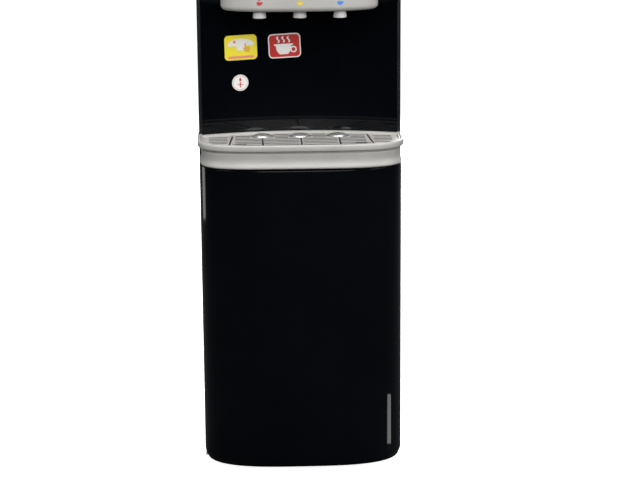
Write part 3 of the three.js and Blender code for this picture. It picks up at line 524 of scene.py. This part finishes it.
def add_lights():
    add_panel_light("overhead_softbox", (0, -0.7, 2.7), (0, -0.1, 0.5), (2.8, 2.0), 46)
    add_panel_light("front_softbox", (0.3, -3.6, 1.65), (0, 0, 0.65), (2.4, 1.0), 36)
    add_panel_light("high_softbox", (0.3, -3.3, 2.9), (0, 0, 0.6), (2.2, 1.2), 42)
    add_panel_light("left_softbox", (-2.4, -1.6, 1.7), (0, 0, 0.5), (1.6, 1.8), 24)
    add_panel_light("right_softbox", (2.4, -1.6, 1.6), (0, 0, 0.5), (1.6, 1.8), 34)
    add_panel_light("rear_softbox", (0.6, 2.4, 1.5), (0, 0.1, 0.5), (1.8, 1.6), 90)
    add_panel_light("left_edge_strip", (-1.0, 0.68, 0.19), (-0.15, -0.12, 0.42), (0.38, 0.12), 0.2)
    add_panel_light("right_edge_strip", (0.235, -0.15, 0.042), (0.13, -0.144, 0.06), (0.03, 0.08),
                    0.035)


def add_world():
    """White behind the object, and a dimmer room in its light and reflections."""
    world = bpy.data.worlds.new("studio")
    bpy.context.scene.world = world
    world.use_nodes = True
    tree = world.node_tree
    link = tree.links.new
    tree.nodes.clear()
    out = tree.nodes.new("ShaderNodeOutputWorld")
    seen = tree.nodes.new("ShaderNodeBackground")
    room = tree.nodes.new("ShaderNodeBackground")
    seen.inputs["Color"].default_value = (1, 1, 1, 1)
    seen.inputs["Strength"].default_value = 1.0
    room.inputs["Color"].default_value = (0.86, 0.93, 1.0, 1)
    room.inputs["Strength"].default_value = 0.16
    path = tree.nodes.new("ShaderNodeLightPath")
    mix = tree.nodes.new("ShaderNodeMixShader")
    link(path.outputs["Is Camera Ray"], mix.inputs["Fac"])
    link(room.outputs[0], mix.inputs[1])
    link(seen.outputs[0], mix.inputs[2])
    link(mix.outputs[0], out.inputs["Surface"])


def add_floor():
    deselect_all()
    bpy.ops.mesh.primitive_plane_add(size=30, location=(0, 0, 0))
    floor = bpy.context.object
    floor.name = "studio_floor"
    material = bpy.data.materials.new("pale_floor")
    material.use_nodes = True
    tree = material.node_tree
    link = tree.links.new
    shader = tree.nodes["Principled BSDF"]
    shader.inputs["Base Color"].default_value = (0.9, 0.9, 0.9, 1)
    shader.inputs["Roughness"].default_value = 0.9
    shader.inputs["Specular IOR Level"].default_value = 0.1
    shader.inputs["Emission Color"].default_value = (1, 1, 1, 1)
    shader.inputs["Emission Strength"].default_value = 0.93
    dim = tree.nodes.new("ShaderNodeBsdfDiffuse")
    dim.inputs["Color"].default_value = (0.05, 0.05, 0.054, 1)
    path = tree.nodes.new("ShaderNodeLightPath")
    mix = tree.nodes.new("ShaderNodeMixShader")
    link(path.outputs["Is Camera Ray"], mix.inputs["Fac"])
    link(dim.outputs[0], mix.inputs[1])
    link(shader.outputs[0], mix.inputs[2])
    link(mix.outputs[0], tree.nodes["Material Output"].inputs["Surface"])
    floor.data.materials.append(material)


# ---- Cabinet and door -----------------------------------------------------------------------

def build_door():
    low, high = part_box("door_skin")
    inner = list(reversed(cabinet_front(WALL, high.y)))

    def ring(inset, height):
        return [*cabinet_front(inset, high.y), *inner], height

    bottom = [ring(inset, low.z + rise) for inset, rise in quarter(9 * MM, 8)]
    top = [ring(inset, high.z - rise) for inset, rise in reversed(quarter(1.3 * MM))]
    skin = stacked("door_skin_finished", [*bottom, *top], smooth=40)
    ends = []
    for z0, z1 in ((low.z + 0.2 * MM, low.z + WALL), (high.z - WALL, high.z - 0.2 * MM)):
        plate = cabinet_front(WALL - 0.2 * MM, high.y)
        if z0 < 0.1:
            plate = cabinet_front(WALL + 5 * MM, high.y)
        ends.append(stacked("door_end", [(plate, z0), (plate, z1)]))
    skin = join("door_skin_finished", skin, *ends)
    put(skin, "door", gloss_black, "door_skin")

    panel = copied("door_inner_panel", "door_inner_panel_finished")
    only(panel)
    bpy.ops.object.mode_set(mode="EDIT")
    bpy.ops.mesh.select_mode(type="FACE")
    bpy.ops.mesh.select_all(action="DESELECT")
    mesh = bmesh.from_edit_mesh(panel.data)
    for face in mesh.faces:
        face.select = face.normal.y > 0.9
    bmesh.update_edit_mesh(panel.data)
    bpy.ops.mesh.inset(thickness=22 * MM)
    bpy.ops.mesh.inset(thickness=3 * MM, depth=-1.5 * MM)
    bpy.ops.mesh.select_mode(type="VERT")
    tidy_mesh()
    put(panel, "door", black_moulded, "door_inner_panel")


def build_splash_panel():
    low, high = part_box("splash_panel")
    thickness = 2.5 * MM
    edge = 1.1 * MM
    rings = []
    for inset, rise in quarter(edge, 3):
        rings.append((inset, low.z + rise))
    rings += [(inset, high.z - rise) for inset, rise in reversed(quarter(edge, 3))]

    def outline(inset):
        half_width = high.x - inset
        return [*reversed(along_panel(half_width, -inset)),
                *along_panel(half_width, inset - thickness)]

    panel = stacked("splash_panel_finished", [(outline(inset), z) for inset, z in rings])
    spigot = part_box("hot_valve_body")
    drills = [turned("drill", [(7 * MM, -80 * MM), (7 * MM, -20 * MM)],
                     (tap_x(name), 0, spigot[0].z + 13 * MM), "Y", count=32) for name in TAP_NAMES]
    put(cut(panel, *drills), "cabinet", gloss_black, "splash_panel")


# ---- Tray -----------------------------------------------------------------------------------

def build_tray_housing():
    low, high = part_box("tray_housing")
    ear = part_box("splash_panel")[1].x + 0.6 * MM

    def outer(inset, height):
        return shelf_outline(inset, ear, high.y, 0.6 * MM), low.z + height

    def inner(inset, height):
        return tray_outline(inset, 3.6 * MM), low.z + height

    band = [(5.2, 0), (4.2, 0.3), (3.6, 1.0), (3.3, 2.0), (3.3, 3.0), (3.8, 4.6), (4.6, 6.5),
            (5.3, 9), (5.6, 12), (5.4, 15.5), (4.9, 19), (4.4, 22.3), (4.5, 23.2), (5.4, 23.9),
            (6.8, 24.4), (6.9, 26.9), (6.5, 27.4), (0.9, 27.6), (0.3, 27.9), (0, 28.6), (0, 34.4),
            (0.2, 35.5), (0.8, 36.4), (1.8, 36.9)]
    rings = [outer(inset * MM, height * MM) for inset, height in band]
    well = [(4.0, 36.9), (4.6, 36.6), (5.0, 36.0), (5.0, 28.5), (9.5, 28.5), (9.5, 3.0)]
    rings += [inner(inset * MM, height * MM) for inset, height in well]
    housing = stacked("tray_housing_finished", rings, smooth=35)
    put(housing, "cabinet", silver_paint, "tray_housing")


def build_drip_tray():
    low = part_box("drip_tray")[0]
    levels = [(12, 4.6, 0), (10.6, 4.2, 0.6), (10.2, 4.0, 2), (10.2, 4.0, 25.1), (5.4, 4.0, 25.1),
              (5.4, 4.0, 31.6), (5.7, 4.1, 32.3), (6.3, 4.4, 32.6), (7.6, 6.0, 32.6),
              (8.2, 6.3, 32.3), (8.4, 6.5, 31.6), (8.4, 6.5, 27.1), (12.4, 8.5, 27.1),
              (12.4, 8.5, 4), (13.4, 9.5, 2)]
    rings = [(tray_outline(inset * MM, rear * MM), low.z + z * MM) for inset, rear, z in levels]
    tray = stacked("drip_tray_finished", rings, smooth=35)
    put(tray, "tray", silver_paint, "drip_tray")
    # painted shade: faces of the basin below the rim get the near-black grey, standing in for the
    # shade under the grille
    tray.data.materials.append(painted_shade_grey)
    for face in tray.data.polygons:
        if face.center.z < low.z + 27 * MM:
            face.material_index = 1


def grille_slots(top):
    """Boxes through the plate: rows from side to side, and two long slots near the front edge."""
    slots = []

    def slot(x0, x1, y, width):
        slots.append(block("slot", (x0 * MM, (y - width / 2) * MM, top - 6 * MM),
                           (x1 * MM, (y + width / 2) * MM, top + 1 * MM), bevel=0))

    def rows(first, last, spans, pitch=12, width=4.2):
        for step in range(int((last - first) / pitch) + 1):
            for x0, x1 in spans:
                slot(x0, x1, first + step * pitch, width)

    rows(-150, -102, [(-99, -60), (-56, -2), (3.5, 56), (61, 99)])
    rows(-90, -66, [(-39, -19), (19, 39)])
    rows(-90, -78, [(-99, -77), (77, 99)])
    rows(-134, -86, [(-139, -111), (111, 139)])
    for x0, x1 in ((-104, -82), (82, 105)):
        slot(x0, x1, -142, 4)
    return slots


def build_grille():
    low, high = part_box("tray_grille")
    thickness = 2.8 * MM
    top = low.z + thickness
    inset, rear = 8.9 * MM, 7.0 * MM
    levels = [(0.5, 0), (0, 0.5), (0, 2.2), (0.2, 2.6), (0.7, 2.8)]
    plate = stacked("tray_grille_plate", [
        (tray_outline(inset + step * MM, rear + step * MM), low.z + rise * MM)
        for step, rise in levels])
    cut(plate, join("slots", *grille_slots(top)))

    dome_y, pitch, radius = -77 * MM, 58 * MM, 15.75 * MM
    groove_foot = top - 2.3 * MM
    grooves = [block("groove", (x - 1.5 * MM, -158 * MM, groove_foot),
                     (x + 1.5 * MM, dome_y - radius + 1 * MM, top + 1 * MM), bevel=0)
               for x in (-pitch, 0.8 * MM, pitch + 1 * MM)]
    for side in (-1, 1):
        divider = block("groove", (-1.3 * MM, -150 * MM, groove_foot),
                        (1.3 * MM, -58 * MM, top + 1 * MM), bevel=0)
        pivot = Matrix.Translation((0, -100 * MM, 0))
        divider.data.transform(Matrix.Translation((side * 105 * MM, 0, 0)) @ pivot
                               @ Matrix.Rotation(side * math.radians(4), 4, "Z") @ pivot.inverted())
        grooves.append(divider)
    moat = turned("moat", [(radius - 1 * MM, -2 * MM), (radius + 1.3 * MM, -2 * MM),
                           (radius + 1.3 * MM, 1 * MM), (radius - 1 * MM, 1 * MM)],
                  (0, dome_y, top), looped=True)
    cut(plate, join("grooves", *grooves))
    cut(plate, repeated("moats", moat, [(x, 0, 0) for x in (-pitch, 0, pitch)]))
    notch = 4.4 * MM
    notches = []
    for x in (-pitch, 0, pitch):
        for dx, dy in ((1, 0), (-1, 0), (0, 1)):
            middle = Vector((x + dx * (radius + 1.5 * MM), dome_y + dy * (radius + 1.5 * MM), top))
            half = Vector((notch / 2, notch / 2, 2 * MM))
            notches.append(block("notch", middle - half, middle + half, bevel=0))
    cut(plate, join("notches", *notches))

    rise = high.z - top
    profile = [(radius, -1 * MM), (radius, 0.3 * MM), (radius - 0.4 * MM, 0.8 * MM),
               (radius - 1.2 * MM, 0.9 * MM), (radius - 2.0 * MM, 0.8 * MM)]
    crown = radius - 2.0 * MM
    for step in range(1, 9):
        angle = math.pi / 2 * step / 8
        profile.append((max(crown * math.cos(angle), 0.2 * MM),
                        0.8 * MM + (rise - 0.8 * MM) * math.sin(angle)))
    domes = [turned("dome", profile, (x, dome_y, top)) for x in (-pitch, 0, pitch)]
    for dome in domes:
        dome.data.materials.append(dome_silver)
    plate.data.materials.append(grille_paint)
    # painted shade: slot and notch walls and groove and moat floors get the near-black grey, standing
    # in for the shade inside these recesses
    plate.data.materials.append(painted_shade_grey)
    for face in plate.data.polygons:
        if face.center.z < top - 1 * MM or face.normal.z < 0.4:
            face.material_index = 1
    grille = join("tray_grille_finished", plate, *domes)
    put(grille, "grille", None, "tray_grille")


# ---- Taps -----------------------------------------------------------------------------------

def build_tap_housing():
    low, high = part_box("tap_housing")
    levels = [(inset, low.z + 1.2 * MM + rise) for inset, rise in quarter(7 * MM, 8)]
    levels += [(0, high.z)]
    shell = stacked("tap_housing_finished",
                    [(tap_housing_outline(inset, 0.6 * MM), z) for inset, z in levels], smooth=35)
    hollow = stacked("hollow", [(tap_housing_outline(WALL, -6 * MM), low.z + WALL),
                                (tap_housing_outline(WALL, -6 * MM), high.z - WALL)])
    cutters = [hollow]
    for name in TAP_NAMES:
        x = tap_x(name)
        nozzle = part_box(f"{name}_nozzle")
        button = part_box(f"{name}_button")
        middle_y = (nozzle[0].y + nozzle[1].y) / 2
        middle_z = (button[0].z + button[1].z) / 2
        cutters.append(turned("hole", [(9.5 * MM, -4 * MM), (9.5 * MM, 6 * MM)],
                              (x, middle_y, low.z)))
        cutters.append(turned("hole", [(17.6 * MM, -40 * MM), (17.6 * MM, 20 * MM)],
                              (x, -140 * MM, middle_z), "Y"))
    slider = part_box("hot_lock_slider")
    cutters.append(block("hole", (-70 * MM, -165 * MM, slider[0].z + 2.4 * MM),
                         (-52 * MM, -135 * MM, slider[1].z - 2.4 * MM), bevel=0))
    put(cut(shell, *cutters), "cabinet", silver_paint, "tap_housing")


def build_nozzle(name):
    low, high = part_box(f"{name}_nozzle")
    centre = ((low.x + high.x) / 2, (low.y + high.y) / 2, low.z)
    profile = [(4.6, 0), (9.2, 0), (9.9, 0.3), (10.15, 1.0), (10.1, 2.0), (9.9, 3.6), (9.4, 6.5),
               (8.9, 9.5), (8.6, 12.5), (8.6, 28.7), (4, 28.7), (4, 1.2)]
    piece = turned(f"{name}_nozzle_finished", [(r * MM, z * MM) for r, z in profile], centre,
                   looped=True)
    put(piece, "cabinet", pale_plastic, f"{name}_nozzle")


def build_button(name, colour):
    low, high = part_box(f"{name}_button")
    centre = ((low.x + high.x) / 2, low.y, (low.z + high.z) / 2)
    profile = [(0.2, 1.8), (8, 1.7), (12.5, 1.2), (14.6, 0.5), (15.4, 0.1), (16.1, 0.1),
               (16.7, 0.5), (17, 1.3), (17, 10.6), (0.2, 10.6)]
    cap = turned(f"{name}_button_finished", [(r * MM, y * MM) for r, y in profile], centre, "Y")
    cap.data.materials.append(silver_paint)
    disc = turned("disc", [(0.2 * MM, 1.2 * MM), (7.4 * MM, 1.2 * MM), (7.8 * MM, 1.5 * MM),
                           (7.8 * MM, 2.4 * MM), (0.2 * MM, 2.4 * MM)], centre, "Y")
    disc.data.materials.append(colour)
    linkage = copied(f"{name}_button", "linkage")
    only(linkage)
    bpy.ops.object.mode_set(mode="EDIT")
    bpy.ops.mesh.select_all(action="SELECT")
    bpy.ops.mesh.bisect(plane_co=(0, low.y + 10.5 * MM, 0), plane_no=(0, 1, 0), use_fill=True,
                        clear_inner=True)
    tidy_mesh()
    linkage.data.materials.append(pale_plastic)
    piece = join(f"{name}_button_finished", cap, disc, linkage)
    put(piece, f"{name}_button", None, f"{name}_button")


def build_springs():
    for name in TAP_NAMES:
        node = f"{name}_spring"
        piece = rounded_tube(node, "cabinet", drawn_steel, swell=0.2 * MM)
        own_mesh(piece)


# ---- Labels and icons -----------------------------------------------------------------------

def printed(outline, surface, centre, lift, material, tilt=0.0):
    """A thin printed shape drawn in X and Z, wrapped onto a curved front face."""
    deselect_all()
    bpy.ops.mesh.primitive_circle_add(vertices=len(outline), radius=1, fill_type="NGON")
    piece = bpy.context.object
    cos_tilt, sin_tilt = math.cos(tilt), math.sin(tilt)
    for vert, (x, z) in zip(piece.data.vertices, outline):
        vert.co = (centre[0] + (x * cos_tilt - z * sin_tilt) * MM, 0,
                   centre[1] + (x * sin_tilt + z * cos_tilt) * MM)
    bpy.ops.object.mode_set(mode="EDIT")
    xs = [vert.co.x for vert in bmesh.from_edit_mesh(piece.data).verts]
    step = 3 * MM
    cut_x = math.ceil(min(xs) / step) * step
    while cut_x < max(xs):
        bpy.ops.mesh.select_all(action="SELECT")
        bpy.ops.mesh.bisect(plane_co=(cut_x, 0, 0), plane_no=(1, 0, 0))
        cut_x += step
    bpy.ops.mesh.select_all(action="SELECT")
    bpy.ops.mesh.extrude_region_move()
    mesh = bmesh.from_edit_mesh(piece.data)
    for vert in mesh.verts:
        vert.co.y = surface(vert.co.x) - (lift if vert.select else lift - 0.1) * MM
    bmesh.update_edit_mesh(piece.data)
    tidy_mesh(merge=0.000001)
    piece.data.materials.append(material)
    return piece


def round_outline(radius, x=0, z=0, count=40):
    return [(x + px, z + pz) for px, pz in circle(radius, count=count)]


def moved(outline, x, z):
    return [(px + x, pz + z) for px, pz in outline]


def drop_outline(width, x, z):
    """A drop with its point up."""
    points = []
    for step in range(28):
        angle = 2 * math.pi * step / 28
        pull = 0.5 * (1 + math.sin(angle))
        points.append((x + width / 2 * math.cos(angle) * (1 - pull ** 2 * 0.95),
                       z + width * 0.62 * math.sin(angle) + width * 0.22 * pull))
    return points


def arch_outline(width, height, x, z):
    """A flat-bottomed arch."""
    top = [(x + width / 2 * math.cos(math.pi * s / 24), z + height * math.sin(math.pi * s / 24) ** 0.8)
           for s in range(25)]
    return top


def wave_outline(width, height, x, z):
    """An upright wavy bar, as drawn for steam."""
    def middle(t):
        return x + 1.5 * math.sin(2 * math.pi * t)
    up = [(middle(s / 12) + width / 2, z + height * s / 12) for s in range(13)]
    down = [(middle(s / 12) - width / 2, z + height * s / 12) for s in range(12, -1, -1)]
    return up + down


def cup_outline(width, height, x, z):
    """A cup seen from the side, wider at the top."""
    base = width * 0.32
    return [(x + width / 2, z + height), (x - width / 2, z + height),
            (x - width * 0.46, z + height * 0.45), (x - base, z + height * 0.1), (x - base * 0.8, z),
            (x + base * 0.8, z), (x + base, z + height * 0.1), (x + width * 0.46, z + height * 0.45)]


def bar_outline(x0, x1, z0, z1, radius=0.8):
    return moved(rounded_rectangle(x1 - x0, z1 - z0, radius, 3), (x0 + x1) / 2, (z0 + z1) / 2)


def hand_outline(x, z):
    """A pointing hand: a rounded palm with one finger up."""
    palm = [(5.4, -5), (6.2, -1), (5.6, 2), (3.8, 2.6), (2.4, 2.2), (1.2, 3.0), (-0.2, 2.6),
            (-1.2, 3.2), (-1.6, 9.0), (-2.8, 9.8), (-4.0, 9.0), (-4.2, 1.0), (-6.4, 1.6),
            (-7.0, 0.2), (-4.6, -3.4), (-3.0, -6.4), (0.5, -7.6), (3.8, -7.2)]
    return [(x + px * 0.82, z + pz * 0.82) for px, pz in reversed(palm)]


def build_label(name, centre, tilt, shapes):
    pieces = [printed(outline, panel_y, centre, 0.18 + 0.12 * order, material, tilt)
              for order, (outline, material) in enumerate(shapes)]
    put(join(name, *pieces), "cabinet", None, slot="white_plastic")


def build_labels():
    build_label("hand_label", (-88.8 * MM, 648.6 * MM), math.radians(1.5), [
        (rounded_rectangle(49.5, 38.2, 6), ink_yellow),
        (arch_outline(40, 11, 0, 2.6), ink_white),
        (round_outline(2.3, -9.6, 9.0), ink_pink),
        (rounded_rectangle(13, 9, 2), ink_white),
        (hand_outline(9, -1.5), ink_orange),
        (bar_outline(-19.5, 19.5, -16.2, -12.8), ink_pink),
    ])
    shapes = [(rounded_rectangle(49.6, 37.4, 6.5), ink_white),
              (rounded_rectangle(46.2, 34, 5), ink_red),
              (cup_outline(24, 14, -1.5, -13), ink_white),
              (bar_outline(-16, 13, 0.5, 3), ink_white),
              (round_outline(5.0, 13.5, -6), ink_white), (round_outline(3.0, 13.5, -6), ink_red)]
    shapes += [(wave_outline(2.6, 9.5, x, 5), ink_white) for x in (-9.5, -1.5, 6.5)]
    build_label("cup_label", (-21.8 * MM, 649.4 * MM), math.radians(2.5), shapes)
    build_label("round_label", (-90.4 * MM, 594.4 * MM), 0, [
        (round_outline(12.5), ink_white), (round_outline(10.9), ink_red),
        (round_outline(10.4), ink_white), (drop_outline(4.2, 0, 5.0), ink_red),
        (bar_outline(-4.6, 4.6, -3.4, -2.0, 0.5), ink_pink),
        (bar_outline(-0.8, 0.8, -7.2, 1.6, 0.5), ink_red),
    ])


def build_icons():
    colours = {"hot": icon_red, "ambient": icon_yellow, "cold": icon_blue}
    for name, shift in (("hot", -0.4 * MM), ("ambient", -0.6 * MM), ("cold", -1.2 * MM)):
        centre = (tap_x(name) + shift, 727 * MM)
        shapes = [cup_outline(8.2, 5.0, 0, -4.4), drop_outline(3.8, -0.4, 4.4),
                  bar_outline(3.6, 5.6, -2.0, 0.0, 0.7)]
        pieces = [printed(outline, tap_housing_y, centre, 0.2, colours[name]) for outline in shapes]
        put(join(f"{name}_icon", *pieces), "cabinet", None, slot="white_plastic")


# ---- Head, top and bottle seat --------------------------------------------------------------

def build_head():
    low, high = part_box("head_fascia")
    rear = MOULDING_REAR_Y
    levels = [(inset, low.z + rise) for inset, rise in quarter(8 * MM, 8)]
    levels += [(inset, high.z - rise) for inset, rise in reversed(quarter(1.2 * MM, 3))]
    rings = [(cabinet_front(inset, rear), z) for inset, z in levels]
    rings += [(cabinet_front(WALL, rear - 1 * MM), z) for z in (high.z, low.z + WALL)]
    shell = stacked("head_fascia_finished", rings, smooth=35)
    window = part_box("indicator_window")
    cut(shell, block("hole", window[0] - Vector((0.3, 9, 0.3)) * MM,
                     window[1] + Vector((0.3, 5, 0.3)) * MM, bevel=0))
    ceiling = block("ceiling", (-145 * MM, rear - 1 * MM, low.z + 0.1 * MM),
                    (145 * MM, PANEL_MID_Y + 4 * MM, low.z + WALL), bevel=0.3 * MM)
    put(join("head_fascia_finished", shell, ceiling), "cabinet", gloss_black, "head_fascia")

    lens = block("indicator_window_finished", window[0], window[1], bevel=0.8 * MM)
    lens.data.materials.append(smoked)
    lamps = []
    for x, colour in ((-26, icon_red), (0, icon_yellow), (26, green_plastic)):
        lamp = turned("lamp", [(0.2 * MM, -0.5 * MM), (1.6 * MM, -0.4 * MM), (2.4 * MM, 0),
                               (2.4 * MM, 1 * MM), (0.2 * MM, 1 * MM)],
                      (x * MM, window[0].y, (window[0].z + window[1].z) / 2), "Y", count=32)
        lamp.data.materials.append(colour)
        lamps.append(lamp)
    put(join("indicator_window_finished", lens, *lamps), "cabinet", None, "indicator_window")


def cabinet_edge(direction, inset, centre):
    """Where a ray from the well's centre meets the cabinet's outline in plan."""
    near, far = 0.0, 0.5
    for _ in range(40):
        reach = (near + far) / 2
        x = centre[0] + reach * math.cos(direction)
        y = centre[1] + reach * math.sin(direction)
        if y < BEND_Y:
            depth, bow = BEND_Y - FRONT_Y - inset, BOW
        else:
            depth, bow = REAR_Y - BEND_Y - inset, 34
        outside = (abs(x) / (HALF_WIDTH - inset)) ** bow + (abs(y - BEND_Y) / depth) ** bow > 1
        near, far = (near, reach) if outside else (reach, far)
    return (centre[0] + near * math.cos(direction), centre[1] + near * math.sin(direction))


def build_top():
    low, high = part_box("top_cover")
    seat_low, seat_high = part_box("bottle_seat")
    centre = (0, (seat_low.y + seat_high.y) / 2)
    turns = [2 * math.pi * step / 240 for step in range(240)]

    def edge(inset, z):
        return [cabinet_edge(turn, inset * MM, centre) for turn in turns], z

    def well(radius, z):
        return circle(radius * MM, centre, 240), z

    rings = [edge(0.4, low.z), edge(0, low.z + 0.6 * MM), edge(0, high.z - 12 * MM)]
    for step in range(1, 9):
        angle = math.pi / 2 * step / 8
        rings.append(edge(10 * (1 - math.cos(angle)), high.z - 12 * MM + 12 * MM * math.sin(angle)))
    rings += [well(118, high.z), well(116, high.z - 0.7 * MM), well(107, high.z - 0.7 * MM),
              well(106, high.z - 1.6 * MM), well(106, low.z - 0 * MM), well(109, low.z)]
    rings += [well(109, high.z - 5 * MM), edge(14, high.z - 5 * MM), edge(3, high.z - 15 * MM),
              edge(3, low.z)]
    cover = stacked("top_cover_finished", rings, looped=True, smooth=35)
    put(cover, "cabinet", gloss_black, "top_cover")

    profile = [(27, 870), (30, 870), (30, 911), (88, 968), (103, 984), (103, 990.3), (111.4, 990.3),
               (112, 991), (112, 995.5), (111.4, 997.6), (109.8, 999.2), (107.5, 1000),
               (102.5, 1000), (101, 999.4), (100.2, 998), (98, 985), (85, 971), (27, 913)]
    funnel = turned("bottle_seat_finished", [(r * MM, z * MM) for r, z in profile],
                    (0, centre[1], 0), looped=True, count=120)
    probe = turned("probe", [(0.2 * MM, 886 * MM), (8 * MM, 886 * MM), (8 * MM, 929 * MM),
                             (7.2 * MM, 933 * MM), (5 * MM, 937.5 * MM), (2.5 * MM, 939.6 * MM),
                             (0.2 * MM, 940 * MM)], (0, centre[1], 0))
    probe.data.materials.append(pale_plastic)
    funnel.data.materials.append(black_moulded)
    spokes = []
    for turn in range(3):
        spoke = block("spoke", (7 * MM, -2 * MM, 886 * MM), (28 * MM, 2 * MM, 898 * MM))
        spoke.data.transform(Matrix.Translation((0, centre[1], 0))
                             @ Matrix.Rotation(math.radians(120 * turn + 90), 4, "Z"))
        spoke.data.materials.append(black_moulded)
        spokes.append(spoke)
    seat = join("bottle_seat_finished", funnel, probe, *spokes)
    put(seat, "bottle_seat", None, "bottle_seat")


# ---- Rear and inside ------------------------------------------------------------------------

def build_compressor():
    low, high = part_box("compressor")
    centre = ((low.x + high.x) / 2, (low.y + high.y) / 2, 0)
    profile = [(0.2, 21), (34, 21), (40, 23), (47, 30), (50, 38), (51, 46), (51, 69.5), (53.4, 70),
               (54, 70.8), (54, 75.2), (53.4, 76), (51, 76.5), (50.6, 92), (49, 108), (44, 122),
               (36, 132), (24, 138.2), (12, 140.6), (0.2, 141)]
    can = turned("compressor_can", [(r * MM, z * MM) for r, z in profile], centre)
    plate = block("plate", (low.x, centre[1] - 30 * MM, 19 * MM),
                  (high.x, centre[1] + 30 * MM, 22 * MM))
    can.data.materials.append(black_powder)
    plate.data.materials.append(black_powder)
    mounts = []
    for dx in (-54, 54):
        for dy in (-22, 22):
            mount = turned("mount", [(0.2 * MM, low.z), (6.4 * MM, low.z), (7 * MM, low.z + 0.6 * MM),
                                     (7 * MM, 18.6 * MM), (6 * MM, 19.5 * MM), (0.2 * MM, 19.5 * MM)],
                           (centre[0] + dx * MM, centre[1] + dy * MM, 0), count=32)
            mount.data.materials.append(rubber)
            mounts.append(mount)
    put(join("compressor_finished", can, plate, *mounts), "cabinet", None, "compressor")


def build_condenser_wires():
    low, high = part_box("condenser_wires")
    radius = 0.8 * MM
    y = low.y + radius + 0.2 * MM
    first = turned("condenser_wires_finished", [(0.1 * MM, low.z), (radius, low.z), (radius, high.z),
                                                (0.1 * MM, high.z)],
                   (low.x + 1.5 * MM, y, 0), count=8)
    wires = 33
    pitch = (high.x - low.x - 3 * MM) / (wires - 1)
    grid = repeated("condenser_wires_finished", first, [(pitch * n, 0, 0) for n in range(wires)])
    put(grid, "cabinet", black_powder, "condenser_wires")


def build_screws():
    """Eight pan-head screws with a cross recess, down both edges of the rear cover."""
    edge, end = 8 * MM, 14 * MM     # from the cover's sides, and from its top and bottom
    head = turned("screw", [(0.1 * MM, 1.7 * MM), (1.6 * MM, 1.6 * MM), (3.0 * MM, 1.1 * MM),
                            (3.6 * MM, 0.3 * MM), (3.6 * MM, 0.05 * MM), (0.1 * MM, 0.05 * MM)],
                  (0, 0, 0), "Y", count=24)
    cut(head, block("recess", (-2 * MM, 0.9 * MM, -0.4 * MM), (2 * MM, 3 * MM, 0.4 * MM), bevel=0),
        block("recess", (-0.4 * MM, 0.9 * MM, -2 * MM), (0.4 * MM, 3 * MM, 2 * MM), bevel=0))
    low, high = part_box("rear_cover")
    shifts = [(x, high.y, z) for x in (low.x + edge, high.x - edge)
              for z in (low.z + end, 480 * MM, 700 * MM, high.z - end)]
    put(repeated("rear_screws", head, shifts), "cabinet", zinc, slot="zinc_plate")


SOFTENED = {
    0.3: ("door_strike", "door_hinge_upper", "hot_rocker", "cold_rocker", "side_panel_left",
          "side_panel_right", "rear_cover", "power_inlet", "switch_plate", "spring_bridge"),
    0.6: ("base_plate", "cabinet_liner", "door_magnet", "door_hinge_lower", "hot_lock_slider",
          "thermostat_knob", "drain_spout", "drain_cap", "foot_front_left", "foot_front_right",
          "foot_rear_left", "foot_rear_right"),
}


TUBES = {"condenser_tube": 0.6, "suction_line": 0.7, "hot_hose": 0.7, "cold_hose": 0.7,
         "ambient_hose": 0.7, "hot_feed_hose": 0.7, "drain_hose": 0.7}


def build_small_parts():
    for width, group in SOFTENED.items():
        for node in group:
            softened(node, body_of[node], finish_of(node), bevel=width * MM)
    for node, swell in TUBES.items():
        rounded_tube(node, "cabinet", finish_of(node), swell * MM)


def finish_cad_nodes():
    """Nodes whose own shape is shown get their finish through their material slots."""
    for name, piece in nodes.items():
        piece.data.materials.clear()
        piece.data.materials.append(finish_of(name))


bpy.context.scene.view_settings.view_transform = "Standard"
add_camera()
add_lights()
add_world()
add_floor()
finish_cad_nodes()
build_door()
build_splash_panel()
build_tray_housing()
build_drip_tray()
build_grille()
build_tap_housing()
for tap, colour in zip(TAP_NAMES, (red_plastic, yellow_plastic, blue_plastic)):
    build_nozzle(tap)
    build_button(tap, colour)
build_springs()
build_labels()
build_icons()
build_head()
build_top()
build_compressor()
build_condenser_wires()
build_screws()
build_small_parts()
